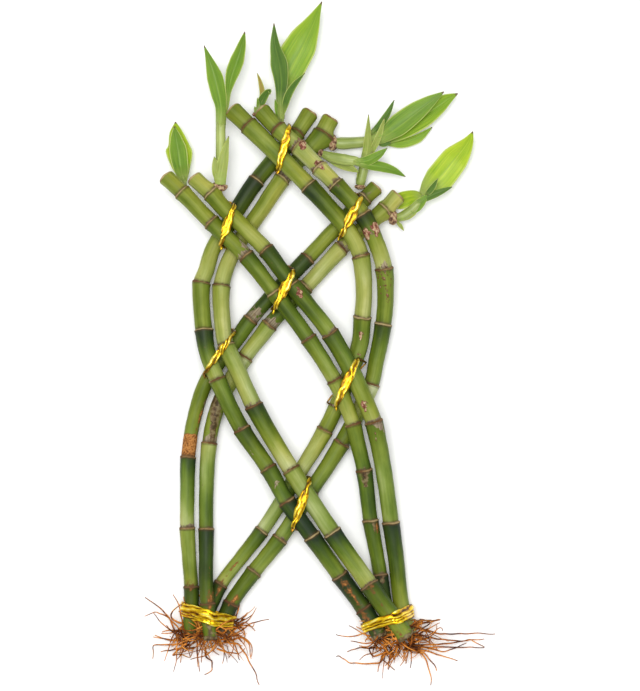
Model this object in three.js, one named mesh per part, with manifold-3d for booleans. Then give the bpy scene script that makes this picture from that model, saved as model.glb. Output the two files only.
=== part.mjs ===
// A braided bunch of lucky bamboo that lies on its back: eight canes woven in four pairs, leafy shoots
// at their tops, roots at their two feet, and gold foil ties.
// Millimetres. X is to the right, Y runs from the roots to the leaves, Z is up from the table.
import * as THREE from "three";
import { mergeVertices } from "three/addons/utils/BufferGeometryUtils.js";
import Module from "manifold-3d";

const wasm = await Module();
wasm.setup();

// Layers: heights of the cane axes over the table
const BACK = 7.2;
const FRONT = 19;
const CLEARANCE = 0.3;

// Canes
const CANE_SIDES = 10;
const LIP = 0.9;
const LONGEST_SPAN = 16;
const INTERNODE_SWELL = [
  [0, 0.95],
  [0.3, 0.94],
  [0.8, 1],
  [1, 1.08],
];
const CUT_BEVEL = 0.5;

// Leaves: half width along the leaf as a share of its widest, and the least thickness of a blade
const BLADE = 0.8;
const LEAF_OUTLINE = [
  [0, 0.34],
  [0.2, 0.74],
  [0.42, 1],
  [0.65, 0.85],
  [0.86, 0.44],
  [1, 0.05],
];
const STEM_SIDES = 8;

// Foil ties
const FOIL = 0.7;
const FOIL_NARROW = 0.9;
const FOIL_TAPER = 0.5;
const FOIL_STEPS = 16;
const FOIL_LONGEST = 3.5;
const FOIL_SHORTEST = 0.2;
const OFF_AXIS = 0.002;
const BAND = 0.8;
const BAND_TURN_WIDTH = 2.8;
const TAIL_RADIUS = 0.6;
const TAIL_ANGLE = 0.35;

// Roots
const ROOT_SIDES = 4;
const ROOT_RADIUS = 0.8;
const ROOT_TIP_RADIUS = 0.45;

const UP = new THREE.Vector3(0, 0, 1);

const material = (color, roughness, metalness = 0) =>
  new THREE.MeshStandardMaterial({ color, roughness, metalness });
const caneGreen = material(0x7e9a3c, 0.45);
const shootGreen = material(0x7db32e, 0.5);
const foilGold = material(0xe8c000, 0.25, 0.9);
const rootOrange = material(0xb5632a, 0.8);

// Solids and meshes
function solidFrom(geometry) {
  const bare = geometry.clone();
  bare.deleteAttribute("normal");
  bare.deleteAttribute("uv");
  const merged = mergeVertices(bare, 1e-4);
  const vertProperties = new Float32Array(merged.attributes.position.array);
  const triVerts = new Uint32Array(merged.index.array);
  return new wasm.Manifold(new wasm.Mesh({ numProp: 3, vertProperties, triVerts }));
}

function geometryFrom(solid) {
  const { vertProperties, triVerts } = solid.getMesh();
  const geometry = new THREE.BufferGeometry();
  geometry.setAttribute("position", new THREE.BufferAttribute(vertProperties, 3));
  geometry.setIndex(new THREE.BufferAttribute(triVerts, 1));
  geometry.computeVertexNormals();
  return geometry;
}

const joined = (geometries) => geometries.map(solidFrom).reduce((sum, solid) => sum.add(solid));

function named(name, geometry, finish) {
  const mesh = new THREE.Mesh(geometry, finish.clone());
  mesh.name = name;
  return mesh;
}

// Straight lines between the given [place, value] pairs
function along(pairs, place) {
  const next = pairs.findIndex(([p]) => p >= place);
  if (next === 0) return pairs[0][1];
  if (next < 0) return pairs.at(-1)[1];
  const [p0, v0] = pairs[next - 1];
  const [p1, v1] = pairs[next];
  return THREE.MathUtils.mapLinear(place, p0, p1, v0, v1);
}

function smoothCurve(points) {
  const curve = new THREE.CatmullRomCurve3(points.map(([x, y, z]) => new THREE.Vector3(x, y, z)));
  curve.curveType = "centripetal";
  return curve;
}

// A lathed rod whose axis is bent along a curve. The profile is a list of [distance, radius].
function bentRod(curve, profile, sides, flatness = 1) {
  const first = profile[0][0];
  const last = profile.at(-1)[0];
  const outline = profile.map(([distance, radius]) => new THREE.Vector2(radius, distance));
  const lathe = new THREE.LatheGeometry(
    [new THREE.Vector2(0, first), ...outline, new THREE.Vector2(0, last)],
    sides,
  );
  const length = curve.getLength();
  const place = lathe.attributes.position;
  const side = new THREE.Vector3();
  const over = new THREE.Vector3();
  for (let i = 0; i < place.count; i++) {
    const distance = place.getY(i);
    const inside = THREE.MathUtils.clamp(distance, 0, length);
    const tangent = curve.getTangentAt(inside / length);
    side.crossVectors(tangent, UP).normalize();
    over.crossVectors(side, tangent);
    const point = curve
      .getPointAt(inside / length)
      .addScaledVector(tangent, distance - inside)
      .addScaledVector(side, place.getX(i))
      .addScaledVector(over, place.getZ(i) * flatness);
    place.setXYZ(i, point.x, point.y, point.z);
  }
  return lathe;
}

// Canes. A route runs from the foot to the cut top: [x, y, z, radius], and true where a ring is.
const R = true;
const caneRoutes = {
  far_left_outer: [
    [42.6, -175.5, 5.7, 4.6],
    [39.6, -160, 5.7, 4.6],
    [36.3, -137.7, 6.4, 4.5, R],
    [30.3, -105, 9.2, 4.7, R],
    [26.4, -74.7, 13.2, 4.8, R],
    [22.8, -59.7, 16, 4.8],
    [19.8, -47.1, 17.9, 4.8, R],
    [14.4, -32.7, FRONT, 4.8],
    [9, -21, FRONT, 4.8, R],
    [-6.9, 4.2, FRONT, 4.9, R],
    [-27.3, 31.8, FRONT, 4.9, R],
    [-44.4, 53.5, FRONT, 4.9, R],
    [-65.1, 73.8, FRONT, 5, R],
    [-82.6, 91.8, FRONT, 5, R],
    [-92.8, 101.4, FRONT, 5],
  ],
  far_left_inner: [
    [54, -176.7, 6.1, 5],
    [48.9, -156, 6.1, 5],
    [45.9, -129.9, 7, 5],
    [42.6, -106.2, 9.2, 5.1, R],
    [38.1, -74.7, 13.2, 5.2],
    [34.8, -57.3, 16.3, 5.2],
    [32.1, -45.6, 18.2, 5.3, R],
    [23.7, -25.5, FRONT, 5.5],
    [19.6, -16.8, FRONT, 5.4],
    [6, 7.2, FRONT, 5.3, R],
    [-16.8, 36.3, FRONT, 5, R],
    [-32.4, 57.2, FRONT, 5, R],
    [-49.6, 74.6, FRONT, 5],
    [-57.6, 82.2, FRONT, 5],
    [-65.4, 90.9, FRONT, 5, R],
    [-76, 100.8, FRONT, 4.9],
  ],
  mid_right_inner: [
    [36.6, -175.5, 14.3, 5.2],
    [31.8, -167.1, 13.6, 5.2],
    [26.4, -158.1, 13, 5.2, R],
    [19.2, -147.9, 12.8, 5.2],
    [11.7, -137.7, 13.6, 5.2, R],
    [-5.1, -114, 17.6, 5.2, R],
    [-19.8, -93.6, FRONT, 5.1, R],
    [-31.2, -73.2, FRONT, 5.1, R],
    [-46.8, -50.1, FRONT, 5.1, R],
    [-61.5, -20.1, FRONT, 5.1, R],
    [-67.5, -4.2, 16.6, 5.2],
    [-69.6, 9.3, 14.6, 5.4, R],
    [-71.1, 24.3, 12, 5.3],
    [-71.1, 37.5, 9.6, 5.2, R],
    [-68.4, 45.3, 8.4, 5.1],
    [-64.7, 57.1, BACK, 5],
    [-55, 73.2, BACK, 5],
    [-38.1, 99.2, BACK, 5, R],
    [-14, 127.7, BACK, 5.1, R],
    [-5.7, 140.1, BACK, 5.1],
  ],
  mid_right_outer: [
    [52.2, -175.5, 17.7, 5.7],
    [45, -164.7, 17.9, 5.7],
    [38.4, -156.3, 18, 5.7],
    [29.4, -143.1, 18.6, 5.7, R],
    [7.2, -111.9, FRONT, 5.5, R],
    [-17.4, -74.1, FRONT, 5.4, R],
    [-39.6, -36, FRONT, 5.4, R],
    [-49.5, -14.4, FRONT, 5.3],
    [-56.3, 0.4, 18.5, 5.2, R],
    [-58.6, 15.3, 14.8, 5.2],
    [-59.1, 35.7, 10, 5.2, R],
    [-55.1, 50, 7.9, 5.1],
    [-47.6, 63.6, BACK, 5],
    [-36.8, 79.2, BACK, 5],
    [-22.6, 100.1, BACK, 5, R],
    [1.2, 127.5, BACK, 5.5, R],
    [6.6, 136.5, BACK + 0.8, 5.2],
  ],
  far_right_inner: [
    [-78.9, -174.9, 5.6, 4.5],
    [-77.4, -156, 5.6, 4.5],
    [-77.4, -144.9, 6, 4.5, R],
    [-78.6, -128.7, 6.6, 4.5],
    [-79.8, -109.5, BACK, 4.5, R],
    [-79.8, -89.7, BACK, 4.5],
    [-79.2, -66.9, BACK, 4.5, R],
    [-76.5, -47.7, BACK, 4.5],
    [-69.3, -23.7, BACK, 4.6],
    [-60.6, -9.9, BACK, 4.6],
    [-50, 3.8, BACK, 4.6],
    [-41.7, 15.6, BACK, 4.6, R],
    [-7.4, 52.7, BACK, 4.7, R],
    [27, 88.5, BACK, 4.7, R],
    [34.2, 95.4, BACK, 4.7],
  ],
  far_right_outer: [
    [-65.4, -176.7, 15, 4.5],
    [-66.6, -165.9, 15, 4.5],
    [-67.5, -155.1, 14.9, 4.5, R],
    [-68.1, -146.7, 13.9, 4.5],
    [-68.4, -137.7, 11.4, 4.5],
    [-68.4, -128.7, 9, 4.5],
    [-68.4, -110.1, BACK, 4.6, R],
    [-68.4, -89.7, BACK, 4.6],
    [-66.6, -58.5, BACK, 4.6, R],
    [-62.1, -38.7, BACK, 4.7],
    [-54.6, -23.1, BACK, 4.8],
    [-45, -6.9, BACK, 4.9, R],
    [-34.9, 6.3, BACK, 4.9],
    [-30.4, 12.4, BACK, 4.9, R],
    [-8.3, 35.5, BACK, 4.9, R],
    [12.9, 58.5, BACK, 4.9, R],
    [39, 81.9, BACK, 5, R],
    [47.1, 90.3, BACK, 5],
  ],
  mid_left_outer: [
    [-69.6, -174.3, 5.3, 4.2],
    [-66.9, -160, 5.3, 4.2],
    [-63.6, -152.1, 5.4, 4.2],
    [-59.4, -143.4, 5.8, 4.3, R],
    [-47.4, -127.5, 6.6, 4.3],
    [-34.8, -111.3, BACK, 4.4, R],
    [-15.6, -81.3, BACK, 4.6, R],
    [3, -51, BACK, 4.9, R],
    [15.6, -23.1, BACK, 5.2],
    [24, 1.5, 8.2, 5.2],
    [25.5, 17.1, 10.8, 5.2, R],
    [26.4, 33.3, 14, 5.2],
    [24.3, 53.7, 17.6, 5.3, R],
    [19.2, 65.7, 18.7, 5.3],
    [10.8, 76.5, FRONT, 5.3],
    [-6.6, 95.4, FRONT, 5.4, R],
    [-42.9, 131.7, FRONT, 5.6, R],
    [-52.8, 141.3, FRONT, 5.6],
  ],
  mid_left_inner: [
    [-58.8, -173.1, 5.9, 4.8],
    [-57.2, -164.4, 5.9, 4.8],
    [-53.4, -155.1, 6.2, 4.8, R],
    [-39.6, -135.9, 6.8, 4.8, R],
    [-24, -116.1, BACK, 4.8, R],
    [-5.4, -87.3, BACK, 4.9, R],
    [12.9, -58.8, BACK, 4.9, R],
    [30.9, -23.1, BACK + 0.2, 4.9, R],
    [33.9, -8.7, 8.2, 5],
    [38.1, 13.2, 10.4, 5.1, R],
    [39.3, 29.1, 13, 5.2],
    [38.4, 46.2, 15.8, 5.3, R],
    [33, 63.3, 18.4, 5.2],
    [25.8, 78, FRONT, 5.2, R],
    [9.6, 96.3, FRONT, 5.1, R],
    [-0.6, 106.5, FRONT, 5.1, R],
    [-13.2, 119.1, FRONT, 5.1, R],
    [-25.2, 129.6, FRONT, 5.2, R],
    [-35.4, 141, FRONT, 5.2],
  ],
};

// Each stretch between two rings starts slim and swells towards the ring above it
function makeCane(route) {
  const curve = smoothCurve(route);
  const stepsPerSpan = 12;
  curve.arcLengthDivisions = (route.length - 1) * stepsPerSpan;
  const lengths = curve.getLengths();
  const places = route.map((_, i) => lengths[i * stepsPerSpan]);
  const radii = route.map(([, , , radius], i) => [places[i], radius]);
  const length = curve.getLength();
  const rings = places.filter((_, i) => route[i][4]);
  const profile = [[0, along(radii, 0) - CUT_BEVEL]];
  const starts = [CUT_BEVEL, ...rings.map((ring) => ring + LIP)];
  const ends = [...rings, length - CUT_BEVEL];
  starts.forEach((start, i) => {
    const reach = ends[i] - start;
    const parts = Math.ceil(reach / LONGEST_SPAN);
    for (let k = 0; k <= parts; k++) {
      const place = start + (reach * k) / parts;
      profile.push([place, along(radii, place) * along(INTERNODE_SWELL, k / parts)]);
    }
  });
  profile.push([length, along(radii, length) - CUT_BEVEL]);
  return { curve, profile, length };
}

const canes = {};
for (const [name, route] of Object.entries(caneRoutes)) canes[name] = makeCane(route);

// Leaves: a folded, arched blade. The same sheet is its top and, turned over, its underside.
function leaf({ spine, width, fold = 0.25, wave = 0, rows = 8, face = [0, 0, 1] }) {
  const curve = smoothCurve(spine);
  const facing = new THREE.Vector3(...face).normalize();
  const sheet = new THREE.PlaneGeometry(2, 1, 2, rows);
  const flat = sheet.attributes.position;
  const count = flat.count;
  const positions = new Float32Array(count * 6);
  const across = new THREE.Vector3();
  const normal = new THREE.Vector3();
  for (let i = 0; i < count; i++) {
    const u = flat.getX(i);
    const v = flat.getY(i) + 0.5;
    const tangent = curve.getTangentAt(v);
    across.crossVectors(tangent, facing).normalize();
    normal.crossVectors(across, tangent);
    const half = width * along(LEAF_OUTLINE, v);
    const lift = fold * half * Math.abs(u) + wave * u * Math.sin(v * 3 * Math.PI);
    const point = curve.getPointAt(v).addScaledVector(across, half * u);
    point.clone().addScaledVector(normal, lift + BLADE / 2).toArray(positions, i * 3);
    point.clone().addScaledVector(normal, lift - BLADE / 2).toArray(positions, (count + i) * 3);
  }
  const top = [...sheet.index.array];
  const index = [...top];
  for (let i = 0; i < top.length; i += 3) {
    index.push(top[i] + count, top[i + 2] + count, top[i + 1] + count);
  }
  const edges = new Set();
  const key = (a, b) => a * count + b;
  const corners = (i) => [0, 1, 2].map((k) => [top[i + k], top[i + ((k + 1) % 3)]]);
  for (let i = 0; i < top.length; i += 3) for (const [a, b] of corners(i)) edges.add(key(a, b));
  for (let i = 0; i < top.length; i += 3) {
    for (const [a, b] of corners(i)) {
      if (!edges.has(key(b, a))) index.push(b, a, a + count, b, a + count, b + count);
    }
  }
  const geometry = new THREE.BufferGeometry();
  geometry.setAttribute("position", new THREE.BufferAttribute(positions, 3));
  geometry.setIndex(index);
  return geometry;
}

// A stem's route is a list of [x, y, z, radius]
function stem(route, flatness = 1) {
  const curve = smoothCurve(route);
  const length = curve.getLength();
  const profile = route.map(([, , , radius], i) => [(length * i) / (route.length - 1), radius]);
  return bentRod(curve, profile, STEM_SIDES, flatness);
}

const shoots = {
  far_left_outer: () => [
    stem([
      [-81.2, 93.6, 12.4, 1.6],
      [-81.8, 99, 11.4, 2],
      [-82.6, 105, 10.6, 1.6],
    ]),
    leaf({
      spine: [
        [-82, 99, 10.8],
        [-83, 108, 9.6],
        [-84.6, 119, 8.8],
        [-86.8, 134.7, 11],
      ],
      width: 7.8,
      fold: 0.1,
    }),
    leaf({
      spine: [
        [-81.8, 98, 12],
        [-82.8, 108, 11.6],
        [-84.8, 120, 11.2],
        [-87, 131.5, 12.4],
      ],
      width: 5.2,
      fold: 0.3,
    }),
  ],
  far_left_inner: () => [
    stem([
      [-61.2, 95.9, 19, 3.2],
      [-60.3, 99.5, 19.2, 3.6],
      [-59.6, 104, 19.5, 3.1],
      [-59.4, 117.3, 20.5, 3],
      [-59.7, 135.3, 21.5, 3],
      [-59.7, 147.3, 22, 3.2],
      [-60.2, 153, 22.2, 2.4],
    ]),
    leaf({
      spine: [
        [-60.4, 146, 22],
        [-63.3, 159, 23.5],
        [-66.6, 170, 24],
        [-69.3, 179.7, 22.4],
      ],
      width: 4.6,
      fold: 0.4,
    }),
    leaf({
      spine: [
        [-58.6, 146, 21.8],
        [-54.6, 160.5, 20.4],
        [-49.2, 173.7, 19.4],
        [-45, 188.1, 20],
      ],
      width: 4.3,
      fold: 0.35,
    }),
    leaf({
      spine: [
        [-58.6, 103, 20.4],
        [-56.9, 114, 21.8],
        [-55.5, 124.8, 23],
      ],
      width: 2.4,
      rows: 5,
    }),
    leaf({
      spine: [
        [-60.9, 101, 20],
        [-62, 107, 21.4],
        [-62.8, 112.8, 22.6],
      ],
      width: 1.8,
      rows: 4,
    }),
  ],
  mid_left_outer: () => [
    stem([
      [-39.4, 137, 12.2, 1.2],
      [-37.8, 140.6, 11.9, 2],
      [-36, 144, 12, 1.5],
    ]),
    leaf({
      spine: [
        [-36.8, 141.5, 12.4],
        [-36, 151, 12.8],
        [-37.8, 162.9, 13.4],
      ],
      width: 1.7,
      rows: 6,
    }),
    leaf({
      spine: [
        [-36.6, 141.5, 12],
        [-32.4, 148.4, 12.8],
        [-30.2, 152, 14.4],
        [-31.2, 154.4, 16.6],
      ],
      width: 2.4,
      rows: 6,
    }),
    leaf({
      spine: [
        [-37.6, 141, 12.6],
        [-37.6, 145, 13.2],
        [-37.8, 148.2, 14],
      ],
      width: 0.9,
      rows: 3,
    }),
  ],
  mid_left_inner: () => [
    stem([
      [-23.6, 132.3, 12.2, 1.8],
      [-23.6, 137, 13.4, 2.4],
      [-24.4, 145.5, 14.6, 3],
      [-24.2, 152.5, 15.2, 2.2],
    ]),
    leaf({
      spine: [
        [-24.4, 144, 15.4],
        [-24.8, 160, 17],
        [-26.8, 177, 18.5],
        [-27.3, 193.2, 18],
      ],
      width: 4.7,
      fold: 0.5,
    }),
    leaf({
      spine: [
        [-23.4, 146, 14],
        [-18, 164, 12.4],
        [-12, 181.5, 13],
        [1.2, 206.1, 17],
      ],
      width: 9.4,
      fold: 0.16,
      wave: 0.5,
      rows: 10,
    }),
    leaf({
      spine: [
        [-23.4, 143, 15.6],
        [-19.2, 152, 17.6],
        [-14.4, 158.1, 19],
        [-9.3, 163.2, 20],
      ],
      width: 2.3,
      rows: 6,
    }),
    leaf({
      spine: [
        [-23.4, 135, 14],
        [-25.2, 141, 15.4],
        [-27, 147.6, 16.4],
      ],
      width: 1.5,
      rows: 4,
    }),
  ],
  mid_right_outer: () => [
    stem([
      [6.3, 122.6, 6.6, 3],
      [12, 121.6, 5.8, 3.6],
      [19, 121.8, 5.5, 3.3],
      [28, 122.7, 5.5, 3.2],
      [35, 124.3, 5.8, 2.6],
    ]),
    leaf({
      spine: [
        [31, 123.4, 6.6],
        [45, 131.7, 9],
        [58.8, 143.1, 12],
        [74.4, 152.4, 12],
      ],
      width: 6.4,
      fold: 0.2,
    }),
    leaf({
      spine: [
        [32, 123.2, 5.4],
        [49, 128.4, 5.4],
        [66, 139.5, 6.6],
        [82.8, 151.5, 9],
      ],
      width: 6.4,
      fold: 0.2,
      wave: 0.4,
    }),
    leaf({
      spine: [
        [33, 123, 4.4],
        [52, 123.6, 2.6],
        [67.5, 131.7, 2.4],
      ],
      width: 3.1,
      fold: 0.15,
      rows: 6,
    }),
  ],
  mid_right_inner: () => [
    stem(
      [
        [0, 115.8, 8.6, 2],
        [6, 113.4, 10, 3.2],
        [15, 111, 12.6, 3.9],
        [22.8, 110.1, 14.9, 4.6],
        [28.4, 109.7, 15.6, 3.4],
      ],
      0.5,
    ),
    leaf({
      spine: [
        [24, 111, 15.8],
        [32.4, 113.3, 17.2],
        [40.5, 118.2, 18.6],
      ],
      width: 3.2,
      fold: 0.4,
      rows: 6,
    }),
    leaf({
      spine: [
        [24, 109, 14.9],
        [36, 107.7, 14.6],
        [44.4, 104.9, 13],
        [51.3, 101.4, 10],
      ],
      width: 3.2,
      fold: 0.4,
    }),
  ],
  far_right_inner: () => [
    stem([
      [23.2, 94.7, 7.2, 2.4],
      [23.7, 98.7, 7.4, 3.1],
      [26, 105.3, 8.4, 3],
      [27.6, 113.1, 9.6, 2.6],
      [28.5, 119.1, 11, 2.2],
      [28.8, 126, 12, 1.8],
      [29.2, 138.3, 13.2, 0.5],
    ]),
    leaf({
      spine: [
        [29, 116, 10.6],
        [34, 128.5, 12],
        [38.4, 136.5, 13],
        [44.7, 147.6, 14],
      ],
      width: 2.6,
      fold: 0.4,
    }),
  ],
  far_right_outer: () => [
    stem([
      [45.7, 76.5, 7.4, 2.1],
      [50.2, 78, 8, 3.1],
      [55.8, 82.5, 9, 3.1],
      [60.6, 87, 10, 2.6],
      [65, 89.8, 10.6, 1.9],
    ]),
    leaf({
      spine: [
        [62.4, 88.4, 9.8],
        [70, 99.5, 9],
        [78, 111.3, 10],
        [91.8, 128.1, 14],
      ],
      width: 9.2,
      fold: 0.16,
      wave: 0.5,
      rows: 10,
    }),
    leaf({
      spine: [
        [62.4, 88.6, 11.4],
        [70.8, 90.3, 12.6],
        [79.2, 94.5, 13.4],
      ],
      width: 2.6,
      fold: 0.4,
      rows: 6,
    }),
    leaf({
      spine: [
        [63.4, 89.4, 11.4],
        [67.8, 94.5, 12.8],
        [70.8, 99.6, 13.8],
      ],
      width: 2.3,
      rows: 5,
    }),
    leaf({
      spine: [
        [61.6, 88.6, 8.4],
        [54.5, 90.4, 2.5],
        [46, 88.6, 1],
        [35.4, 86.1, 1],
      ],
      width: 5.4,
      fold: 0,
    }),
  ],
};

// Foil ties. A turn of foil runs over the front pair from one end of its stroke to the other, then
// down and under. Its outline, in the upright plane through the stroke, is the hull of discs.
function crossing(cane, [from, to], halfWidth) {
  const direction = new THREE.Vector2(to[0] - from[0], to[1] - from[1]);
  const reach = direction.length();
  direction.normalize();
  const offset = (p) => (p.x - from[0]) * direction.y - (p.y - from[1]) * direction.x;
  const s = (p) => (p.x - from[0]) * direction.x + (p.y - from[1]) * direction.y;
  const samples = 600;
  const margin = 8;
  let before = cane.curve.getPointAt(0);
  for (let i = 1; i <= samples; i++) {
    const point = cane.curve.getPointAt(i / samples);
    const near = s(point) > -margin && s(point) < reach + margin;
    if (near && offset(before) * offset(point) <= 0) {
      const tangent = cane.curve.getTangentAt(i / samples);
      const across = Math.abs(tangent.x * direction.y - tangent.y * direction.x);
      const askew = Math.abs(tangent.x * direction.x + tangent.y * direction.y);
      const place = (cane.length * i) / samples;
      const widths = [-2, -1, 0, 1, 2].map((step) => along(cane.profile, place + step * halfWidth));
      const slope = (halfWidth * Math.abs(tangent.z)) / across;
      const radius = (Math.max(...widths) + slope + CLEARANCE) / Math.cos(Math.PI / FOIL_STEPS);
      const stretch = radius / across - radius + (halfWidth * askew) / across;
      return { s: s(point), z: point.z, radius, stretch };
    }
    before = point;
  }
  throw new Error("a tie misses its cane");
}

function discsAt(name, stroke, halfWidth, reachOf) {
  const cut = crossing(canes[name], stroke, halfWidth);
  const reach = reachOf(cut);
  return [-cut.stretch, cut.stretch].map((shift) => ({ s: cut.s + shift, z: cut.z, reach }));
}

function hullPoint(discs, angle) {
  const x = Math.cos(angle);
  const y = Math.sin(angle);
  const support = (disc) => disc.s * x + disc.z * y + disc.reach;
  const disc = discs.reduce((best, other) => (support(other) > support(best) ? other : best));
  return { s: disc.s + disc.reach * x, z: disc.z + disc.reach * y, x, y };
}

// The outline, with points added on its long straight stretches
function hullOutline(discs, longest) {
  const apart = (a, b) => Math.hypot(b.s - a.s, b.z - a.z);
  const corners = Array.from({ length: 2 * FOIL_STEPS }, (_, i) => {
    const angle = (2 * Math.PI * Math.floor(i / 2)) / FOIL_STEPS;
    return hullPoint(discs, angle + (i % 2 ? OFF_AXIS : -OFF_AXIS));
  }).filter((corner, i, all) => apart(corner, all.at(i - 1)) > FOIL_SHORTEST);
  return corners.flatMap((corner, i) => {
    const next = corners[(i + 1) % corners.length];
    const length = apart(corner, next);
    const parts = Math.max(1, Math.floor(length / longest));
    return Array.from({ length: parts }, (_, k) => {
      const mix = (key) => THREE.MathUtils.lerp(corner[key], next[key], k / parts);
      return { s: mix("s"), z: mix("z"), x: mix("x"), y: mix("y") };
    });
  });
}

// under: how far the strand below is beside the stroke at its two ends, to pass between two canes
function foilTurn({ stroke, under, discs, thickness, width }) {
  const outline = hullOutline(discs, under ? FOIL_LONGEST : Infinity);
  const beneath = under ?? [0, 0];
  const ring = new THREE.TorusGeometry(1, 0.2, 4, outline.length);
  const place = ring.attributes.position;
  const corners = [[1, 1], [-1, 1], [-1, -1], [1, -1]];
  const [from, to] = stroke.map(([x, y]) => new THREE.Vector2(x, y));
  const length = from.distanceTo(to);
  const onward = to.clone().sub(from).normalize();
  const beside = new THREE.Vector2(onward.y, -onward.x);
  for (let i = 0; i < place.count; i++) {
    const row = i % (outline.length + 1);
    const point = outline[row % outline.length];
    const [outer, side] = corners[Math.floor(i / (outline.length + 1)) % 4];
    const out = (outer * thickness) / 2;
    const drop = 1 - THREE.MathUtils.smoothstep(point.z, BACK + 2.5, FRONT - 1);
    const share = THREE.MathUtils.clamp(point.s / length, 0, 1);
    const shift = THREE.MathUtils.lerp(...beneath, share) * drop;
    const wide = (side * width(point)) / 2 - shift;
    const plan = from.clone().addScaledVector(onward, point.s + point.x * out).addScaledVector(beside, wide);
    place.setXYZ(i, plan.x, plan.y, point.z + point.y * out);
  }
  return ring;
}

// wide: the width of the strip between its two canes. Over each of them it is narrower.
function crossTie({ stroke, under, pair, low, tail, wide }) {
  const half = FOIL / 2;
  const reachOf = (cut) => cut.radius + half;
  const discs = pair.flatMap((name) => discsAt(name, stroke, (wide * FOIL_TAPER) / 2, reachOf));
  const crowns = discs.map((disc) => disc.s);
  const [first, last] = [Math.min(...crowns), Math.max(...crowns)];
  const ends = discs.flatMap((disc) => [disc.s - disc.reach, disc.s + disc.reach]);
  const corner = 1;
  const z = low + half + corner;
  discs.push({ s: Math.min(...ends) + corner, z, reach: corner });
  discs.push({ s: Math.max(...ends) - corner, z, reach: corner });
  const spread = (rise) => THREE.MathUtils.smoothstep(rise, 0.3, 0.9);
  const width = (point) => {
    const away = Math.min(1, Math.abs(2 * point.s - first - last) / (last - first));
    const broad = THREE.MathUtils.lerp(wide, wide * FOIL_TAPER, away * away);
    return THREE.MathUtils.lerp(FOIL_NARROW, broad, spread(point.y));
  };
  const turn = foilTurn({ stroke, under, discs, thickness: FOIL, width });
  const root = hullPoint(discs, TAIL_ANGLE);
  const [from, to] = stroke.map(([x, y]) => new THREE.Vector2(x, y));
  const start = from.clone().lerp(to, root.s / from.distanceTo(to));
  const route = [[0, 0, 0], ...tail].map(([x, y, rise]) => [start.x + x, start.y + y, root.z + rise]);
  const curve = smoothCurve(route);
  const length = curve.getLength();
  const twist = bentRod(curve, [[0, TAIL_RADIUS], [length, TAIL_RADIUS / 2]], 5);
  return geometryFrom(joined([turn, twist]));
}

const crossTies = {
  tie_top_middle: {
    stroke: [[-18, 131.7], [-24.6, 106.5]],
    under: [-0.7, -1.1],
    pair: ["mid_left_inner", "mid_left_outer"],
    low: 0,
    wide: 5.2,
    tail: [[-0.5, -1.2, 0.9], [-1, -2.4, 0.6]],
  },
  tie_left_upper: {
    stroke: [[-51, 84.3], [-59.4, 60.3]],
    under: [-3.7, 2.85],
    pair: ["far_left_inner", "far_left_outer"],
    low: 0.4,
    wide: 5.2,
    tail: [[0.1, -1.2, 0.9], [0.5, -2.4, 0.6]],
  },
  tie_right_upper: {
    stroke: [[24.6, 87.9], [12.6, 65.7]],
    under: [-4.9, -0.1],
    pair: ["mid_left_inner", "mid_left_outer"],
    low: 0.4,
    wide: 5.2,
    tail: [[-0.8, -1, 0.9], [-1.6, -1.9, 0.6]],
  },
  tie_centre: {
    stroke: [[-16.2, 43.5], [-26.4, 23.7]],
    under: [-5.4, -1.2],
    pair: ["far_left_inner", "far_left_outer"],
    low: 0.4,
    wide: 5.6,
    tail: [[-0.3, -1.2, 0.9], [-0.6, -2.4, 0.6]],
  },
  tie_left_lower: {
    stroke: [[-52.8, 5.7], [-68.4, -15.9]],
    under: [-2.3, 9.25],
    pair: ["mid_right_outer", "mid_right_inner"],
    low: 0.4,
    wide: 3.6,
    tail: [[0, -1.2, 0.9], [0.4, -2.4, 0.6]],
  },
  tie_right_lower: {
    stroke: [[21.9, -9.3], [10.5, -33.9]],
    under: [5.6, -5.4],
    pair: ["far_left_inner", "far_left_outer"],
    low: 0.4,
    wide: 5.4,
    tail: [[0.3, -1.4, 0.9], [0.6, -2.6, 0.6]],
  },
  tie_bottom_middle: {
    stroke: [[-6, -80.1], [-16.2, -108.9]],
    under: [-1.75, 3.5],
    pair: ["mid_right_outer", "mid_right_inner"],
    low: 0.4,
    wide: 4.8,
    tail: [[-0.5, -1.2, 0.9], [-0.9, -2.4, 0.6]],
  },
};

// The ties round the feet: three turns, side by side and a little askew. Their underside is flat.
function footTie({ from, to, lower, upper, turns }) {
  const half = BAND / 2;
  const side = BAND_TURN_WIDTH / 2;
  const direction = new THREE.Vector2(to[0] - from[0], to[1] - from[1]).normalize();
  const bands = turns.map((shifts) => {
    const stroke = [from, to].map(([x, y], i) => [
      x - direction.y * shifts[i],
      y + direction.x * shifts[i],
    ]);
    const discs = [
      ...lower.flatMap((name) => discsAt(name, stroke, side, (cut) => cut.z - half)),
      ...upper.flatMap((name) => discsAt(name, stroke, side, (cut) => cut.radius + half)),
    ];
    return foilTurn({ stroke, discs, thickness: BAND, width: () => BAND_TURN_WIDTH });
  });
  return geometryFrom(joined(bands));
}

const footTies = {
  tie_foot_left: {
    from: [-81.6, -158.9],
    to: [-54, -166.1],
    lower: ["far_right_inner", "mid_left_outer", "mid_left_inner"],
    upper: ["far_right_outer"],
    turns: [[2.8, 2.4], [0.1, 0], [-2.7, -2.4]],
  },
  tie_foot_right: {
    from: [28.2, -168.3],
    to: [54.6, -159.9],
    lower: ["far_left_outer", "far_left_inner"],
    upper: ["mid_right_inner", "mid_right_outer"],
    turns: [[1.1, 2.6], [0.2, 0.2], [-1.1, -2.3]],
  },
};

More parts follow.
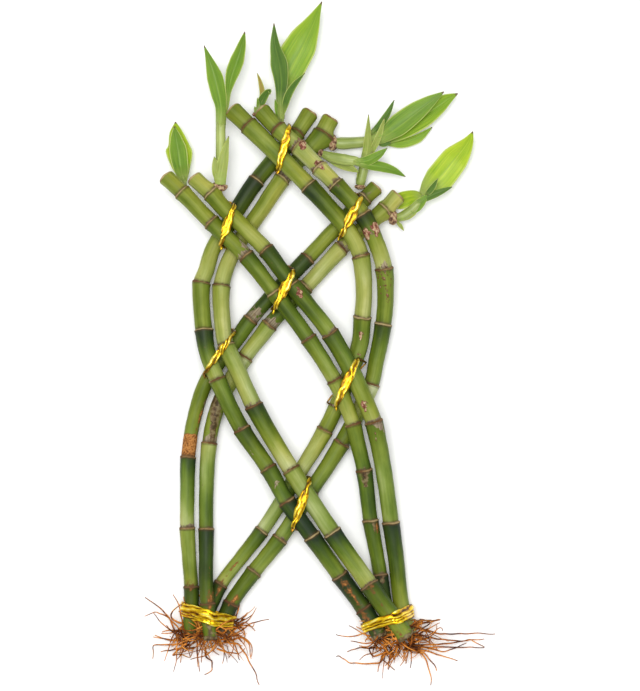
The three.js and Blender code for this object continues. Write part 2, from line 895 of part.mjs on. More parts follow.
// Roots: a knotted core round the feet with plain holes for the canes, and the roots that leave it
function rootBundle({ centre, size, feet, strands }) {
  const core = new THREE.SphereGeometry(1, 14, 9);
  const place = core.attributes.position;
  for (let i = 0; i < place.count; i++) {
    const point = new THREE.Vector3().fromBufferAttribute(place, i);
    const knots = 1 + 0.1 * Math.sin(5 * point.x + 2 * point.z) * Math.cos(4 * point.y - 3 * point.z);
    point.multiplyScalar(knots).multiply(new THREE.Vector3(...size)).add(new THREE.Vector3(...centre));
    place.setXYZ(i, point.x, point.y, Math.max(point.z, CLEARANCE));
  }
  const roots = strands.map((route) => {
    const curve = smoothCurve(route);
    const length = curve.getLength();
    const steps = 2 * (route.length - 1);
    const profile = Array.from({ length: steps + 1 }, (_, i) => [
      (length * i) / steps,
      THREE.MathUtils.lerp(ROOT_RADIUS, ROOT_TIP_RADIUS, i / steps),
    ]);
    return bentRod(curve, profile, ROOT_SIDES);
  });
  let bundle = joined([core, ...roots]);
  for (const name of feet) {
    const { curve, profile } = canes[name];
    const grown = profile.slice(0, 5).map(([distance, radius]) => [distance, radius + CLEARANCE]);
    grown[0] = [-CLEARANCE, profile[1][1] + CLEARANCE];
    bundle = bundle.subtract(solidFrom(bentRod(curve, grown, CANE_SIDES)));
  }
  return geometryFrom(bundle);
}

const rootBundles = {
  roots_left: {
    centre: [-69, -178.5, 9.6],
    size: [15, 7, 9],
    feet: ["far_right_inner", "far_right_outer", "mid_left_outer", "mid_left_inner"],
    strands: [
      [[-80, -181, 6], [-86, -175.5, 5], [-89.4, -165.9, 4], [-94.8, -158.7, 3], [-106, -151.5, 2]],
      [[-78, -178, 9], [-91.2, -163.5, 9], [-99, -159.5, 7], [-105.6, -162.9, 5]],
      [[-80, -178, 11], [-83.4, -161.7, 14], [-84.6, -154.5, 14], [-88.2, -149.1, 12]],
      [[-78, -178, 4], [-93, -177.3, 3], [-99.6, -174.3, 2]],
      [[-78, -180, 7], [-96, -179.7, 5], [-100.8, -181, 3], [-99.6, -185.1, 2], [-100.8, -188.7, 1.4]],
      [[-76, -182, 5], [-87, -182.7, 3], [-96, -184.5, 1.4]],
      [[-80, -179, 12], [-89.4, -186.3, 9], [-84, -185.7, 8], [-78, -187.5, 8], [-76, -181, 7]],
      [[-69, -182, 6], [-69, -187, 4], [-64.8, -190, 2.4], [-65, -196, 1.4], [-69.6, -198.3, 1.4]],
      [[-58, -178, 6], [-49.2, -179.7, 5], [-44.4, -186.9, 3], [-39.6, -195.3, 1.6], [-36.6, -205.4, 1.4]],
      [[-58, -178, 9], [-47, -174.8, 8], [-42.6, -179.7, 6], [-41.4, -188.7, 4]],
      [[-58, -177, 11], [-48, -171.9, 11], [-42, -167.1, 9], [-30.6, -164.7, 6]],
      [[-57, -177, 5], [-50.4, -170, 5], [-45, -165.9, 3], [-39, -171.9, 1.6]],
      [[-62, -182, 11], [-56, -184, 9], [-48, -186, 7], [-45, -182, 6]],
    ],
  },
  roots_right: {
    centre: [46.5, -180, 11],
    size: [11, 6.4, 10.2],
    feet: ["far_left_outer", "far_left_inner", "mid_right_inner", "mid_right_outer"],
    strands: [
      [[54, -178, 14], [63, -170.7, 12], [72, -173.7, 8], [84, -173.1, 5], [106.2, -173.7, 2]],
      [[54, -179, 10], [66, -175.5, 9], [81, -177.9, 6], [99, -176.7, 2]],
      [[54, -180, 7], [70, -180, 5], [90, -177, 3], [99, -181.5, 1.4]],
      [[53, -181, 5], [70, -182, 3], [87, -181.5, 2], [99, -182, 1.4]],
      [[52, -182, 9], [63, -181.5, 8], [75, -184.5, 5], [88.2, -179.1, 3]],
      [[52, -182, 4], [66, -184.5, 2], [82.8, -189.9, 1.4]],
      [[51, -182, 6], [61.2, -183.6, 5], [69.6, -192.9, 2], [70.2, -196, 1.4]],
      [[50, -183, 8], [60, -184, 6], [64, -190, 4], [67.2, -199.5, 2], [66.6, -205.4, 1.4]],
      [[46, -184, 6], [42.6, -186, 4], [40.8, -194.7, 1.6]],
      [[40, -182, 12], [30, -181.5, 9], [24, -181.5, 6], [16.2, -184.5, 3]],
      [[40, -183, 8], [36, -191, 6], [18, -191.1, 4], [10.8, -186.3, 2], [9.6, -187.5, 1.6]],
      [[41, -184, 10], [32, -187, 9], [29, -182, 10], [34, -180, 12], [38, -184, 12]],
      [[38, -180, 6], [30, -177, 4], [26, -171, 3], [22.2, -169.5, 2]],
      [[43, -184, 5], [36, -187.5, 3], [45, -195.5, 1.4]],
    ],
  },
};

const bamboo = new THREE.Group();
for (const [name, { curve, profile }] of Object.entries(canes)) {
  bamboo.add(named("cane_" + name, bentRod(curve, profile, CANE_SIDES), caneGreen));
}
for (const [name, pieces] of Object.entries(shoots)) {
  bamboo.add(named("shoot_" + name, geometryFrom(joined(pieces())), shootGreen));
}
for (const [name, tie] of Object.entries(crossTies)) bamboo.add(named(name, crossTie(tie), foilGold));
for (const [name, tie] of Object.entries(footTies)) bamboo.add(named(name, footTie(tie), foilGold));
for (const [name, roots] of Object.entries(rootBundles)) {
  bamboo.add(named(name, rootBundle(roots), rootOrange));
}

export default bamboo;
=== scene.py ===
# %% [markdown]
# A bunch of lucky bamboo, woven into an open lattice and tied with gold foil.
# The CAD model is loaded first. It holds every piece at its real place and size, and
# each new piece stands for one of its nodes.

# %% Load the CAD frame
import math
import random

import bpy
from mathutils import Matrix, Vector
from mathutils.geometry import interpolate_bezier


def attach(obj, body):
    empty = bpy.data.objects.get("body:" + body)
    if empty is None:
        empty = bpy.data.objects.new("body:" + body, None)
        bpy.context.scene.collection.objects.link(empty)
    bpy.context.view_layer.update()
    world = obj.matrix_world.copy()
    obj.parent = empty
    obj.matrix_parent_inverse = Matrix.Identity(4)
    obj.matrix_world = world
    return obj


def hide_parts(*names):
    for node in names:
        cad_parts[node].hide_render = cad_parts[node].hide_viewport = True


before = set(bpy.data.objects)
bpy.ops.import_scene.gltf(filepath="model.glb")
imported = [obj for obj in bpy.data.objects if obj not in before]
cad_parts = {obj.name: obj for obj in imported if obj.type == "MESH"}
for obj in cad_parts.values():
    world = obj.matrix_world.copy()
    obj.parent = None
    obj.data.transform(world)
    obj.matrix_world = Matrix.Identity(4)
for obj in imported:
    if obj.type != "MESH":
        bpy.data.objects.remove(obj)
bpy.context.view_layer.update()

# %% [markdown]
# The routes below are in millimetres, as a grower would measure them, and Blender works
# in metres, so one constant turns the first into the second. The canes lie in two
# layers, and BACK and FRONT are the heights of their middles over the table.

# %% Units and heights
MM = 0.001
BACK = 7.2
FRONT = 19


def metres(values):
    return Vector([v * MM for v in values])


print("back layer", BACK, "mm, front layer", FRONT, "mm")

# %% [markdown]
# A material in Blender is a small graph of nodes. The class below keeps one material and
# has a short method for each kind of node that is used here: a colour ramp, a mix of two
# colours, a calculation, a stored attribute, noise, and a bump. A stop of a ramp is its
# place and a colour, or its place and one grey.


# %% Helpers for materials
class Finish:
    """A material, with short ways to add nodes to its graph"""

    def __init__(self, name):
        self.material = bpy.data.materials.new(name)
        self.material.use_nodes = True
        self.tree = self.material.node_tree
        self.shader = self.tree.nodes["Principled BSDF"]

    def put(self, node, socket, value):
        """Links a socket, or sets it to a number, a vector or a colour"""
        target = node.inputs[socket]
        if isinstance(value, bpy.types.NodeSocket):
            self.tree.links.new(value, target)
        else:
            target.default_value = (*value, 1) if target.type == "RGBA" else value

    def add(self, kind, sockets=(), **settings):
        node = self.tree.nodes.new("ShaderNode" + kind)
        for setting, value in settings.items():
            setattr(node, setting, value)
        for socket, value in dict(sockets).items():
            self.put(node, socket, value)
        return node

    def wear(self, **sockets):
        """Sets the shader's own sockets"""
        for socket, value in sockets.items():
            self.put(self.shader, socket.replace("_", " "), value)

    def ramp(self, factor, *stops):
        node = self.add("ValToRGB", {"Fac": factor})
        elements = node.color_ramp.elements
        while len(elements) < len(stops):
            elements.new(0.5)
        for element, (place, *colour) in zip(elements, stops):
            element.position = place
            element.color = (*(colour if len(colour) == 3 else colour * 3), 1)
        return node.outputs["Color"]

    def mask(self, factor, low, high):
        """Black below low and white above high"""
        return self.ramp(factor, (low, 0), (high, 1))

    def mix(self, factor, first, second, blend="MIX"):
        colours = {0: factor, 6: first, 7: second}
        return self.add("Mix", colours, data_type="RGBA", blend_type=blend).outputs[2]

    def calc(self, operation, first, second=0.0):
        return self.add("Math", {0: first, 1: second}, operation=operation).outputs[0]

    def attribute(self, name, output="Fac"):
        return self.add("Attribute", attribute_name=name).outputs[output]

    def split(self, vector, axis):
        return self.add("SeparateXYZ", {"Vector": vector}).outputs[axis]

    def noise(self, source, scale, detail=3.0):
        """Noise on stretched coordinates: scale is how many patches there are in a metre"""
        scale = scale if isinstance(scale, tuple) else (scale,) * 3
        place = self.add("Mapping", {"Vector": source, "Scale": scale}).outputs[0]
        return self.add("TexNoise", {"Vector": place, "Scale": 1.0, "Detail": detail}).outputs[0]

    def bump(self, height, strength, distance):
        sockets = {"Height": height, "Strength": strength, "Distance": distance}
        self.wear(Normal=self.add("Bump", sockets).outputs[0])


print("helpers ready")

# %% [markdown]
# The bark of a cane is smooth and waxy. Just below each ring it is dark green, and it
# fades to a light yellow green towards the ring beneath. Fine streaks run along the
# cane. They have to follow its bends, so each cane keeps the coordinates that it had
# while it was straight in an attribute named straight, and the streaks read that.

# %% Cane bark
bark = Finish("cane_bark")
straight = bark.attribute("straight", "Vector")
fibres = bark.noise(straight, (45, 1100, 1100))
flames = bark.noise(straight, (11, 210, 210))
clouds = bark.noise(straight, (40, 90, 90), 4.0)
specks = bark.noise(straight, (500, 700, 700), 2.0)
drift = bark.noise(straight, (17, 50, 50), 2.0)
tone = bark.attribute("shade")
for patches, amount in ((flames, 0.5), (clouds, 0.7)):
    change = bark.calc("MULTIPLY", bark.calc("SUBTRACT", patches, 0.5), amount)
    tone = bark.calc("ADD", tone, change)
green = bark.ramp(
    tone, (0.0, 0.5, 0.5, 0.22), (0.2, 0.33, 0.355, 0.09), (0.4, 0.19, 0.235, 0.028),
    (0.6, 0.094, 0.138, 0.009), (0.8, 0.04, 0.068, 0.006), (1.0, 0.017, 0.031, 0.009),
)
fibre_colour = bark.ramp(fibres, (0.3, 0.76, 0.78, 0.66), (0.72, 1.14, 1.12, 1.1))
green = bark.mix(0.6, green, fibre_colour, "MULTIPLY")
drift_colour = bark.ramp(drift, (0.36, 1.12, 1.0, 0.7), (0.64, 0.86, 1.0, 1.5))
green = bark.mix(0.7, green, drift_colour, "MULTIPLY")
speck_mask = bark.calc("MULTIPLY", bark.mask(specks, 0.7, 0.78), 0.5)
green = bark.mix(speck_mask, green, (0.13, 0.085, 0.03))
print("bark greens ready")

# %% [markdown]
# Real canes are never clean. Dry papery sheath clings above some rings, old buds and
# knocks leave reddish scabs, and roots leave rusty stains near the foot. Each kind of
# mark has its own attribute. Noise is added to it before it is cut off sharply, which
# gives the mark a ragged edge. A second cut, a little higher, leaves scabs and rust with
# a darker rim.

# %% Marks on the bark
ragged = bark.noise(straight, 420, 5.0)
grit = bark.noise(straight, 900, 4.0)


def mark_mask(name, low, high):
    edge = bark.calc("MULTIPLY", bark.calc("ADD", bark.attribute(name), ragged), 0.5)
    return bark.mask(edge, low / 2, high / 2)


paper_mask = mark_mask("paper", 0.9, 0.98)
paper_colour = bark.ramp(fibres, (0.35, 0.13, 0.095, 0.06), (0.65, 0.34, 0.28, 0.18))
green = bark.mix(paper_mask, green, paper_colour)
stain_mask = bark.calc("MULTIPLY", mark_mask("stain", 0.82, 1.0), 0.92)
stain_colour = bark.ramp(
    ragged, (0.4, 0.04, 0.018, 0.01), (0.5, 0.11, 0.06, 0.03), (0.6, 0.19, 0.15, 0.07),
)
green = bark.mix(stain_mask, green, stain_colour)
scab_mask = mark_mask("scab", 0.93, 1.0)
scab_colour = bark.ramp(
    specks, (0.4, 0.14, 0.045, 0.028), (0.49, 0.32, 0.14, 0.085), (0.62, 0.52, 0.4, 0.24),
)
scab_colour = bark.mix(mark_mask("scab", 0.97, 1.08), (0.09, 0.03, 0.016), scab_colour)
green = bark.mix(scab_mask, green, scab_colour)
rust_mask = mark_mask("rust", 0.8, 1.0)
rust_colour = bark.ramp(
    grit, (0.4, 0.14, 0.05, 0.012), (0.48, 0.33, 0.13, 0.03), (0.58, 0.43, 0.19, 0.05),
)
rust_colour = bark.mix(mark_mask("rust", 0.95, 1.1), (0.16, 0.065, 0.018), rust_colour)
green = bark.mix(rust_mask, green, rust_colour)
print("marks ready")

# %% [markdown]
# A ring is a brown scar with a dark rim on both sides, and the rings near the foot are
# older and darker. Beside each ring a groove is darkened with painted shade. The cut top
# shows pale wood. What is dry is also rough and raised, while the green bark keeps a dull
# shine.

# %% Rings, cut ends and relief
ring_edge = bark.calc("MULTIPLY", bark.attribute("ring"), bark.calc("ADD", ragged, 0.45))
ring_mask = bark.mask(ring_edge, 0.5, 0.8)
ring_colour = bark.ramp(
    clouds, (0.4, 0.13, 0.06, 0.022), (0.5, 0.24, 0.15, 0.06), (0.62, 0.38, 0.29, 0.14),
)
rim = bark.calc("MULTIPLY", bark.ramp(ring_edge, (0.55, 1), (0.85, 0)), 0.85)
ring_colour = bark.mix(rim, ring_colour, (0.085, 0.026, 0.01))
old_ring = bark.ramp(bark.split(straight, "X"), (0.03, 0.8), (0.075, 0))
ring_colour = bark.mix(old_ring, ring_colour, (0.1, 0.036, 0.014))
green = bark.mix(ring_mask, green, ring_colour)
# Painted shade: the grooves on both sides of each ring are darkened towards dark brown.
groove_shade_mask = bark.calc("MULTIPLY", bark.attribute("groove_shade"), ragged)
green = bark.mix(groove_shade_mask, green, (0.06, 0.035, 0.014))
cut_colour = bark.ramp(fibres, (0.3, 0.17, 0.15, 0.05), (0.7, 0.34, 0.3, 0.13))
green = bark.mix(bark.attribute("cut"), green, cut_colour)
dry = bark.calc(
    "ADD", bark.calc("ADD", ring_mask, paper_mask), bark.calc("ADD", scab_mask, rust_mask),
)
crust = bark.mask(bark.calc("MULTIPLY", dry, ragged), 0.0, 0.7)
bark.bump(bark.mix(0.5, fibres, crust), 0.35, 0.0004)
bark.wear(
    Base_Color=green, Roughness=bark.ramp(dry, (0.0, 0.48), (1.0, 0.8)), Specular_IOR_Level=0.16,
)
print("bark has", len(bark.tree.nodes), "nodes")

# %% [markdown]
# A leaf has long parallel veins, a paler midrib, margin and base, and a dry brown tip.
# Its colour follows the leaf, so the pattern reads the leaf's own UV map: U runs across
# the blade and V from its base to its tip. Light passes through a thin leaf, which makes the big
# young ones glow yellow green, so the shader lets some light through.


# %% Leaf materials
def leaf_material(name, bright, deep):
    leaf = Finish(name)
    place = leaf.add("UVMap", uv_map="UVMap").outputs[0]
    across, onward = leaf.split(place, "X"), leaf.split(place, "Y")
    veins = leaf.noise(place, (26, 1.2, 1), 2.0)
    bands = leaf.noise(place, (7, 1.5, 1), 2.0)
    patches = leaf.noise(place, (2.5, 2, 1))
    both = leaf.mix(0.3, leaf.mix(0.5, veins, bands), patches)
    colour = leaf.ramp(both, (0.38, *deep), (0.6, *bright))
    middle = leaf.calc("ABSOLUTE", leaf.calc("SUBTRACT", across, 0.5))
    rib = leaf.calc("MULTIPLY", leaf.ramp(middle, (0.0, 1), (0.03, 0)), 0.2)
    colour = leaf.mix(rib, colour, (0.36, 0.45, 0.1))
    margin = leaf.calc("MULTIPLY", leaf.mask(middle, 0.445, 0.475), 0.75)
    colour = leaf.mix(margin, colour, (0.5, 0.56, 0.16))
    tip = leaf.mask(leaf.calc("ADD", onward, leaf.calc("MULTIPLY", bands, 0.04)), 0.985, 1.0)
    colour = leaf.mix(tip, colour, (0.14, 0.09, 0.035))
    base = leaf.ramp(onward, (0.0, 1), (0.1, 0.8), (0.3, 0))
    colour = leaf.mix(base, colour, (0.31, 0.39, 0.095))
    leaf.bump(leaf.mix(0.4, veins, bands), 0.6, 0.0005)
    leaf.wear(
        Base_Color=colour, Roughness=0.42, Specular_IOR_Level=0.25,
        Subsurface_Weight=0.3, Subsurface_Radius=(0.002, 0.004, 0.0008),
    )
    return leaf.material


leaf_bright = leaf_material("leaf_bright", (0.44, 0.56, 0.026), (0.2, 0.35, 0.01))
leaf_young = leaf_material("leaf_young", (0.28, 0.42, 0.022), (0.12, 0.25, 0.01))
leaf_green = leaf_material("leaf_green", (0.2, 0.33, 0.03), (0.085, 0.185, 0.014))
leaf_dark = leaf_material("leaf_dark", (0.125, 0.23, 0.03), (0.04, 0.1, 0.014))
leaf_sheath = leaf_material("leaf_sheath", (0.36, 0.42, 0.1), (0.19, 0.25, 0.035))
leaf_dry = leaf_material("leaf_dry", (0.42, 0.36, 0.06), (0.2, 0.13, 0.03))
print("leaf materials", [m.name for m in bpy.data.materials if m.name.startswith("leaf")])

# %% [markdown]
# A shoot's stem is pale green with faint lines along it. Where it leaves the cane it
# sits in a gnarled brown collar, the dried remains of the bud.

# %% Stem and collar materials
stem_green = Finish("stem_green")
straight = stem_green.attribute("straight", "Vector")
lines = stem_green.noise(straight, (30, 1200, 1200))
mottle = stem_green.noise(straight, (60, 90, 90))
stem_colour = stem_green.ramp(
    stem_green.mix(0.5, lines, mottle), (0.38, 0.16, 0.22, 0.03), (0.62, 0.36, 0.43, 0.12),
)
stem_green.wear(
    Base_Color=stem_colour, Roughness=0.42,
    Subsurface_Weight=0.05, Subsurface_Radius=(0.002, 0.003, 0.001),
)

collar_brown = Finish("collar_brown")
crust = collar_brown.noise(collar_brown.add("TexCoord").outputs["Object"], 600, 5.0)
brown = collar_brown.ramp(
    crust, (0.38, 0.06, 0.025, 0.012), (0.49, 0.26, 0.13, 0.07), (0.62, 0.46, 0.34, 0.18),
)
collar_brown.bump(crust, 0.5, 0.0006)
collar_brown.wear(Base_Color=brown, Roughness=0.8)
print("stem materials", stem_green.material.name, collar_brown.material.name)

# %% [markdown]
# The ties are crumpled gold foil. Its folds run along the strip. Its colour carries
# painted reflections: painted highlights in bright yellow on the faces, and painted
# dark brown shade in the creases between them. The strips lean one way at the crossings
# and another way at each foot, so the pattern is turned to the lean of each.


# %% Foil materials
def foil_material(name, lean, dull=0.0):
    foil = Finish(name)
    turned = foil.add(
        "Mapping", {
            "Vector": foil.add("TexCoord").outputs["Object"],
            "Rotation": (0, 0, math.radians(lean)), "Scale": (1 / 90, 1 / 560, 1 / 400),
        }, vector_type="TEXTURE",
    ).outputs[0]
    sockets = {"Vector": turned, "Scale": 1.0, "Detail": 2.0, "Distortion": 0.4}
    fold_relief_and_sheen = foil.add("TexNoise", sockets).outputs[0]
    # Painted reflections: the dark brown stops are painted shade in the creases, and the pale
    # yellow ones are painted highlights on the faces.
    gold = foil.ramp(
        foil.mix(0.5, fold_relief_and_sheen, foil.attribute("fold")),
        (0.28, 0.07, 0.025, 0.0), (0.38, 0.3, 0.13, 0.0), (0.48, 0.62, 0.36, 0.002),
        (0.62, 0.87, 0.62, 0.012), (0.74, 0.97, 0.84, 0.2),
    )
    foil.bump(fold_relief_and_sheen, 0.5, 0.0005)
    foil.wear(Base_Color=foil.mix(dull, gold, (0.22, 0.14, 0.015)), Metallic=0.85, Roughness=0.34)
    return foil.material


print("foil materials ready")

# %% [markdown]
# A root is orange brown near the plant and turns dark and grey towards its tip. The UV
# map that a curve gets when it is made a mesh runs along it, and shows how far out a
# point is.

# %% Root material
root_bark = Finish("root_bark")
place = root_bark.add("TexCoord").outputs["Object"]
knots = root_bark.noise(place, 130, 5.0)
grain = root_bark.noise(place, 900, 2.0)
orange = root_bark.ramp(
    root_bark.mix(0.35, knots, grain),
    (0.38, 0.06, 0.013, 0.002), (0.48, 0.42, 0.125, 0.012), (0.6, 0.92, 0.47, 0.1),
)
outward = root_bark.split(root_bark.add("UVMap", uv_map="UVMap").outputs[0], "Y")
crown_red = root_bark.ramp(knots, (0.42, 0.06, 0.01, 0.002), (0.58, 0.6, 0.15, 0.012))
orange = root_bark.mix(root_bark.ramp(outward, (0.0, 0.85), (0.35, 0)), orange, crown_red)
tip_mask = root_bark.ramp(outward, (0.72, 0), (0.95, 0.9))
orange = root_bark.mix(tip_mask, orange, (0.045, 0.035, 0.03))
root_bark.wear(Base_Color=orange, Roughness=0.65, Specular_IOR_Level=0.06)
print("root material", root_bark.material.name)

# %% [markdown]
# Canes, stems and leaves all follow a smooth line through a few measured points. The
# CAD model uses a centripetal Catmull-Rom curve, so the same handles are worked out
# here for a Bezier curve.


# %% Smooth routes
def handles(points):
    """Bezier handles that make the curve centripetal Catmull-Rom"""
    ends = [2 * points[0] - points[1], *points, 2 * points[-1] - points[-2]]
    spans = []
    for before, start, end, after in zip(ends, ends[1:], ends[2:], ends[3:]):
        d0 = max((start - before).length, 1e-9) ** 0.5
        d1 = max((end - start).length, 1e-9) ** 0.5
        d2 = max((after - end).length, 1e-9) ** 0.5
        leave = (start - before) / d0 - (end - before) / (d0 + d1) + (end - start) / d1
        arrive = (end - start) / d1 - (after - start) / (d1 + d2) + (after - end) / d2
        spans.append((start + leave * d1 / 3, end - arrive * d1 / 3))
    return spans


def route_lengths(points):
    """Distance along the curve at each point"""
    lengths = [0.0]
    for start, end, (leave, arrive) in zip(points, points[1:], handles(points)):
        steps = interpolate_bezier(start, leave, arrive, end, 33)
        lengths.append(lengths[-1] + sum((b - a).length for a, b in zip(steps, steps[1:])))
    return lengths


def between(pairs, place):
    """Straight lines between the given (place, value) pairs"""
    if place <= pairs[0][0]:
        return pairs[0][1]
    for (p0, v0), (p1, v1) in zip(pairs, pairs[1:]):
        if place <= p1:
            return v0 + (v1 - v0) * (place - p0) / max(p1 - p0, 1e-9)
    return pairs[-1][1]


def eased(pairs, place):
    """A smooth line through the given (place, value) pairs"""
    slopes = [(v1 - v0) / (p1 - p0) for (p0, v0), (p1, v1) in zip(pairs, pairs[1:])]
    lean = [slopes[0]]
    for before, after in zip(slopes, slopes[1:]):
        lean.append(0 if before * after <= 0 else 2 * before * after / (before + after))
    lean.append(slopes[-1])
    for k, ((p0, v0), (p1, v1)) in enumerate(zip(pairs, pairs[1:])):
        if place <= p1:
            step = p1 - p0
            t = min(max((place - p0) / step, 0), 1)
            start = v0 * (1 + 2 * t) * (1 - t) ** 2 + lean[k] * step * t * (1 - t) ** 2
            return start + v1 * t * t * (3 - 2 * t) + lean[k + 1] * step * t * t * (t - 1)
    return pairs[-1][1]


print("route helpers ready")

# %% [markdown]
# Every piece is made straight and is then bent along its route by a Curve modifier,
# which is applied. Operators act on all that is selected, so one helper selects a
# single piece, another opens edit mode with the whole mesh selected, and a third
# closes it.


# %% Select, edit and bend
def select_only(piece=None):
    """Selects one piece, or nothing"""
    bpy.ops.object.select_all(action="DESELECT")
    if piece is not None:
        piece.select_set(True)
        bpy.context.view_layer.objects.active = piece


def edit_all():
    bpy.ops.object.mode_set(mode="EDIT")
    bpy.ops.mesh.select_all(action="SELECT")


def back_to_object():
    bpy.ops.object.mode_set(mode="OBJECT")


def new_piece(name):
    """The object that an operator has just added, with its name"""
    piece = bpy.context.object
    piece.name = piece.data.name = name
    return piece


def apply_modifiers(piece):
    select_only(piece)
    for modifier in list(piece.modifiers):
        bpy.ops.object.modifier_apply(modifier=modifier.name)


def route_curve(points):
    select_only()
    bpy.ops.curve.primitive_bezier_curve_add(location=(0, 0, 0))
    guide = bpy.context.object
    knots = guide.data.splines[0].bezier_points
    knots.add(len(points) - 2)
    for knot, point in zip(knots, points):
        knot.handle_left_type = knot.handle_right_type = "FREE"
        knot.co = knot.handle_left = knot.handle_right = point
    for i, (leave, arrive) in enumerate(handles(points)):
        knots[i].handle_right = leave
        knots[i + 1].handle_left = arrive
    guide.data.resolution_u = 32
    guide.data.twist_mode = "Z_UP"
    return guide


def bend_along(piece, points):
    guide = route_curve(points)
    bend = piece.modifiers.new("bend", "CURVE")
    bend.object = guide
    bend.deform_axis = "POS_X"
    apply_modifiers(piece)
    bpy.data.objects.remove(guide)


def displace(piece, name, texture, strength, direction):
    wave = piece.modifiers.new(name, "DISPLACE")
    wave.texture = texture
    wave.texture_coords = "LOCAL"
    wave.direction = direction
    wave.strength = strength * MM
    return wave


def cloud_texture(name, size, depth=2):
    texture = bpy.data.textures.new(name, "CLOUDS")
    texture.noise_scale = size * MM
    texture.noise_depth = depth
    return texture


print("bend helpers ready")

# %% [markdown]
# A rod starts as a filled circle that is extruded section by section, and each new
# section is scaled to its radius, as one would do by hand. That gives a straight
# turned piece along X. Numbers that a material needs later, such as the coordinates
# before the bend, are painted on its vertices.


# %% Turned rods
def turned_rod(name, sections, sides):
    """Sections are (distance, radius) in metres. The rod runs along X."""
    select_only()
    bpy.ops.mesh.primitive_circle_add(
        vertices=sides, radius=sections[0][1], fill_type="NGON", location=(0, 0, 0),
        rotation=(0, math.pi / 2, 0),
    )
    rod = new_piece(name)
    bpy.ops.object.transform_apply(location=True, rotation=True, scale=True)
    edit_all()
    bpy.ops.transform.translate(value=(sections[0][0], 0, 0))
    for (start, radius), (end, wide) in zip(sections, sections[1:]):
        swell = wide / radius
        bpy.ops.mesh.extrude_region_move(TRANSFORM_OT_translate={"value": (end - start, 0, 0)})
        bpy.ops.transform.resize(value=(1, swell, swell), center_override=(end, 0, 0))
    bpy.ops.mesh.select_all(action="SELECT")
    bpy.ops.mesh.normals_make_consistent(inside=False)
    back_to_object()
    return rod


def paint(piece, name, value_at, kind="FLOAT"):
    """Stores a number or a vector on every vertex"""
    store = piece.data.attributes.new(name, kind, "POINT")
    field = "value" if kind == "FLOAT" else "vector"
    for vertex, entry in zip(piece.data.vertices, store.data):
        setattr(entry, field, value_at(vertex))


def keep_straight(piece):
    paint(piece, "straight", lambda vertex: vertex.co, "FLOAT_VECTOR")


def smooth(piece, angle=35):
    select_only(piece)
    bpy.ops.object.shade_smooth_by_angle(angle=math.radians(angle))


def finish_piece(piece, material, node):
    if material is not None:
        piece.data.materials.clear()
        piece.data.materials.append(material)
    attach(piece, "root")
    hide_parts(node)


print("rod helpers ready")

# %% [markdown]
# Each route runs from the foot of a cane to its cut top: x, y, z and radius. Where a
# ring is, three more numbers follow: how dark the bark is just below it, how dark it is
# further down, above the next ring, and how many millimetres of dry papery sheath are
# left above it. The short piece above the last ring has one shade.

